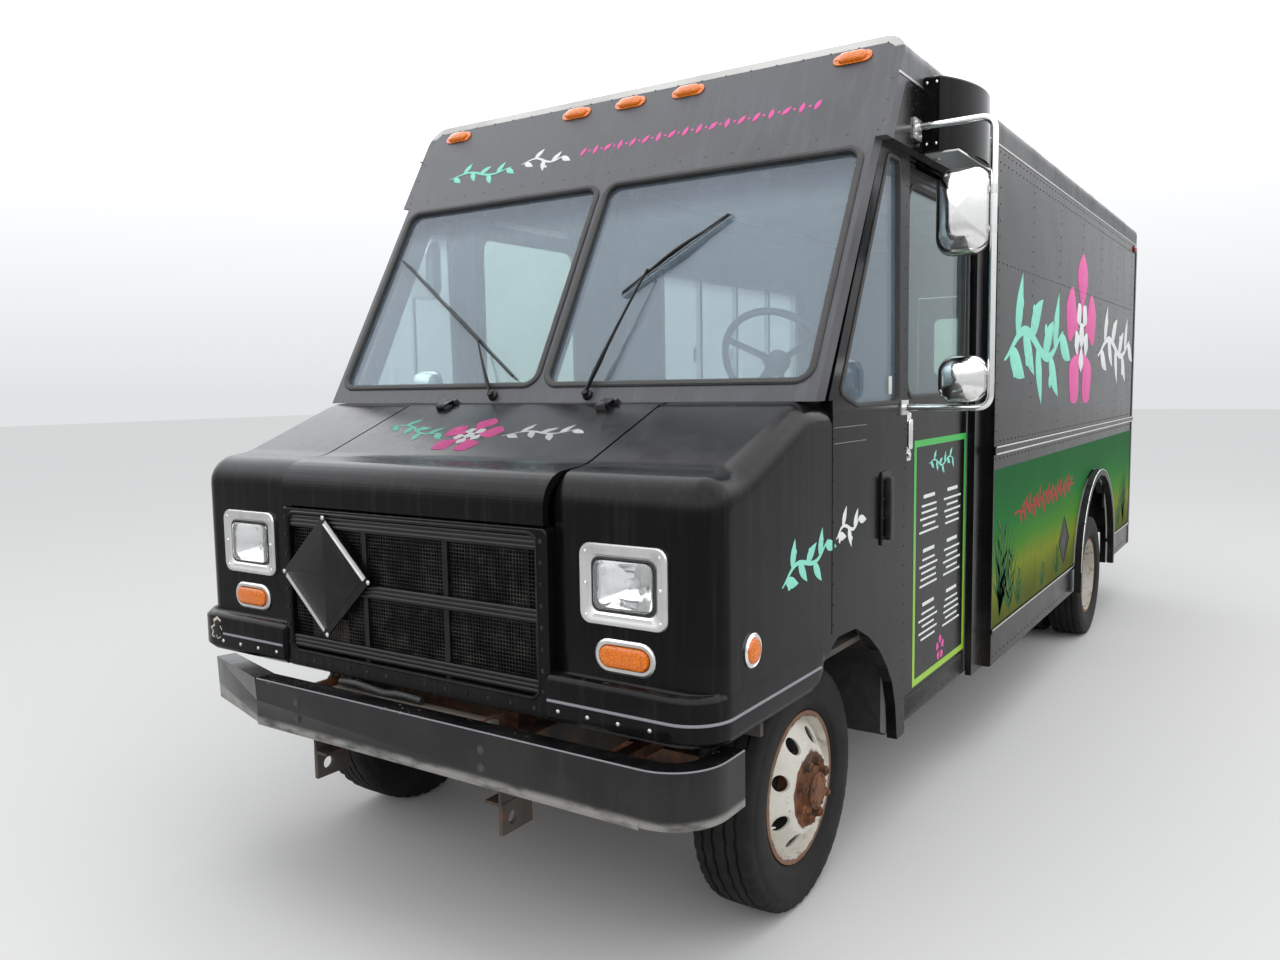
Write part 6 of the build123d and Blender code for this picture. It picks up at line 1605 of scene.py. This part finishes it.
class TRUCK_OT_rear(bpy.types.Operator):
    """Locking rod, handle and window rubbers of the rear doors, and the serving window's trim"""

    bl_idname = "truck.rear"
    bl_label = "Rear doors"

    def execute(self, context):
        behind = rear(BODY_REAR)
        seal = moulding(rounded(360, 520, 60, -REAR_DOOR_MIDDLE, 2110, 8),
                        [(-14, 0.3), (-14, 4), (-6, 8), (3, 6), (8, -10), (-0.5, -10), (-0.5, 0.3)], behind)
        each_side("rear_window_rubber", seal, dull_rubber(), "rear_door")
        panel = moulding(rounded(500, 760, 30, -REAR_DOOR_MIDDLE, 1260),
                         [(0, 0.3), (0, 2.4), (8, 4), (16, 2.4), (16, 0.3)], behind)
        each_side("rear_door_panel", panel, black_paint(), "rear_door")
        x, s, z = LOCK_ROD_X, BODY_REAR, LOCK_HEIGHT
        lock = [tube([(x, s + 16, height) for height in (830, 1300, 1900, 2540)], 9, 12),
                tube(bent([(x, s + 18, z), (x, s + 30, z + 20), (x - 200, s + 30, z + 20)], 12), 9, 12),
                lathe([(0.3, 0), (0.3, 30), (10, 28), (24, 14), (24, 0)], (x, s, z), (0, 1, 0), 24)]
        lock += [box((x - 24, x + 24), (s + 0.3, s + 9), (height - 16, height + 16), 2)
                 for height in (860, 1180, 1800, 2500)]
        piece("rear_lock_rod", joined(lock), satin_aluminium(), "rear_door_right")

        s0, s1, z0, z1 = SERVING_START, SERVING_END, SERVING_FOOT, SERVING_HEAD
        trim = [moulding(rounded(s1 - s0 - 64, z1 - z0 - 64, 20, (s0 + s1) / 2, (z0 + z1) / 2),
                         [(-10, 16.4), (-10, 19), (4, 21), (12, 17), (12, 4), (4, 4)], left(BODY_HALF))]
        trim += [box((BODY_HALF + 1, BODY_HALF + 22), (s - 14, s + 14), (1960, 2060), 4)
                 for s in np.linspace(s0, s1, 5)[1:-1]]
        piece("serving_window_trim", joined(trim).mirrored(), dull_rubber())
        spots = lines_of([(s0 - 12, z, s1 + 12, z) for z in (z0 + 4, z1 + 12)], 105)
        piece("serving_window_screws", spread(button(5, 2), spots, left(BODY_HALF + 10)).mirrored(),
              satin_aluminium())
        return {"FINISHED"}


SEAT_X, SEAT_STATION = 620, 1940
CUSHION_SIDE, BACK_FRONT, BACK_BEHIND = 1352, -32, -88


def crown(outline, level, rise):
    """The layers of a padded face: the outline shrinks by the root of t as it rises by
    rise sqrt(1 - t^2)."""
    middle = outline.mean(0)
    return [(middle + (outline - middle) * t ** 0.5, level + rise * (1 - t * t) ** 0.5)
            for t in shrinking(8)[1:]]


class TRUCK_OT_cabin(bpy.types.Operator):
    """Driver's seat, steering wheel and instrument hood, seen through the glass"""

    bl_idname = "truck.cabin"
    bl_label = "Cabin"

    def execute(self, context):
        x = SEAT_X
        outline = rounded(468, 472, 78, x, SEAT_STATION, 9)
        layers = [(inset(outline, 26), 1233), (inset(outline, 8), 1240), (outline, 1262),
                  (outline, CUSHION_SIDE), *crown(outline, CUSHION_SIDE, 46)]
        cushion = piece("seat_cushion", stack(FLAT, layers), seat_vinyl(), replaces=("driver_seat",),
                        sharp=70)
        outline = rounded(432, 880, 110, 0, 448, 9)
        layers = [*crown(outline, BACK_BEHIND, -14)[::-1], (inset(outline, 3), -84), (outline, -62),
                  (outline, BACK_FRONT), *crown(outline, BACK_FRONT, 26)]
        plane = Plane((x, 2083, 1395), (1, 0, 0), unit(np.array((0, 95, 905), float)))
        back = piece("seat_back", stack(plane, layers), seat_vinyl(), sharp=70)
        stand = (box((x - 148, x + 148), (1802, 2078), (801, 1234), 8)
                 + box((x - 200, x + 200), (1760, 2120), (1222, 1236), 4))
        piece("seat_pedestal", stand, cab_plastic())
        smooth_copy("steering_wheel", cab_plastic())
        hood = softened([(470, 790), (770, 790), (770, 896), (470, 896)], 34)
        binnacle = stack(FLAT, [(hood, 1692), (hood, 1745), (inset(hood, 8), 1772), (inset(hood, 26), 1786)])
        piece("instrument_hood", binnacle, cab_plastic())
        rings = [moulding(disc(26, u, 1738), [(0, 0), (0, 4), (4, 4), (4, 0)], rear(897))
                 for u in (-700, -620, -540)]
        piece("instrument_dials", joined(rings), bright_chrome())
        return {"FINISHED"}


class TRUCK_PT_panel(bpy.types.Panel):
    """Lists the truck's sizes and the steps that build it"""

    bl_idname = "TRUCK_PT_panel"
    bl_label = "Food Truck"
    bl_space_type = "VIEW_3D"
    bl_region_type = "UI"
    bl_category = "Food Truck"

    def draw(self, context):
        for name in TruckSettings.__annotations__:
            self.layout.prop(context.scene.truck, name)
        for operator in OPERATORS:
            self.layout.operator(operator.bl_idname)


OPERATORS = (TRUCK_OT_stage, TRUCK_OT_panels, TRUCK_OT_grille, TRUCK_OT_lamps, TRUCK_OT_windshield,
             TRUCK_OT_mirrors, TRUCK_OT_wheels, TRUCK_OT_graphics, TRUCK_OT_walls, TRUCK_OT_cab,
             TRUCK_OT_bumpers, TRUCK_OT_rear, TRUCK_OT_cabin)
CLASSES = (TruckSettings, *OPERATORS, TRUCK_PT_panel)


def register():
    for cls in CLASSES:
        bpy.utils.register_class(cls)
    bpy.types.Scene.truck = bpy.props.PointerProperty(type=TruckSettings)


def unregister():
    del bpy.types.Scene.truck
    for cls in reversed(CLASSES):
        bpy.utils.unregister_class(cls)


def main():
    """Builds the whole truck."""
    register()
    for operator in OPERATORS:
        group, name = operator.bl_idname.split(".")
        getattr(getattr(bpy.ops, group), name)()


if __name__ == "__main__":
    main()
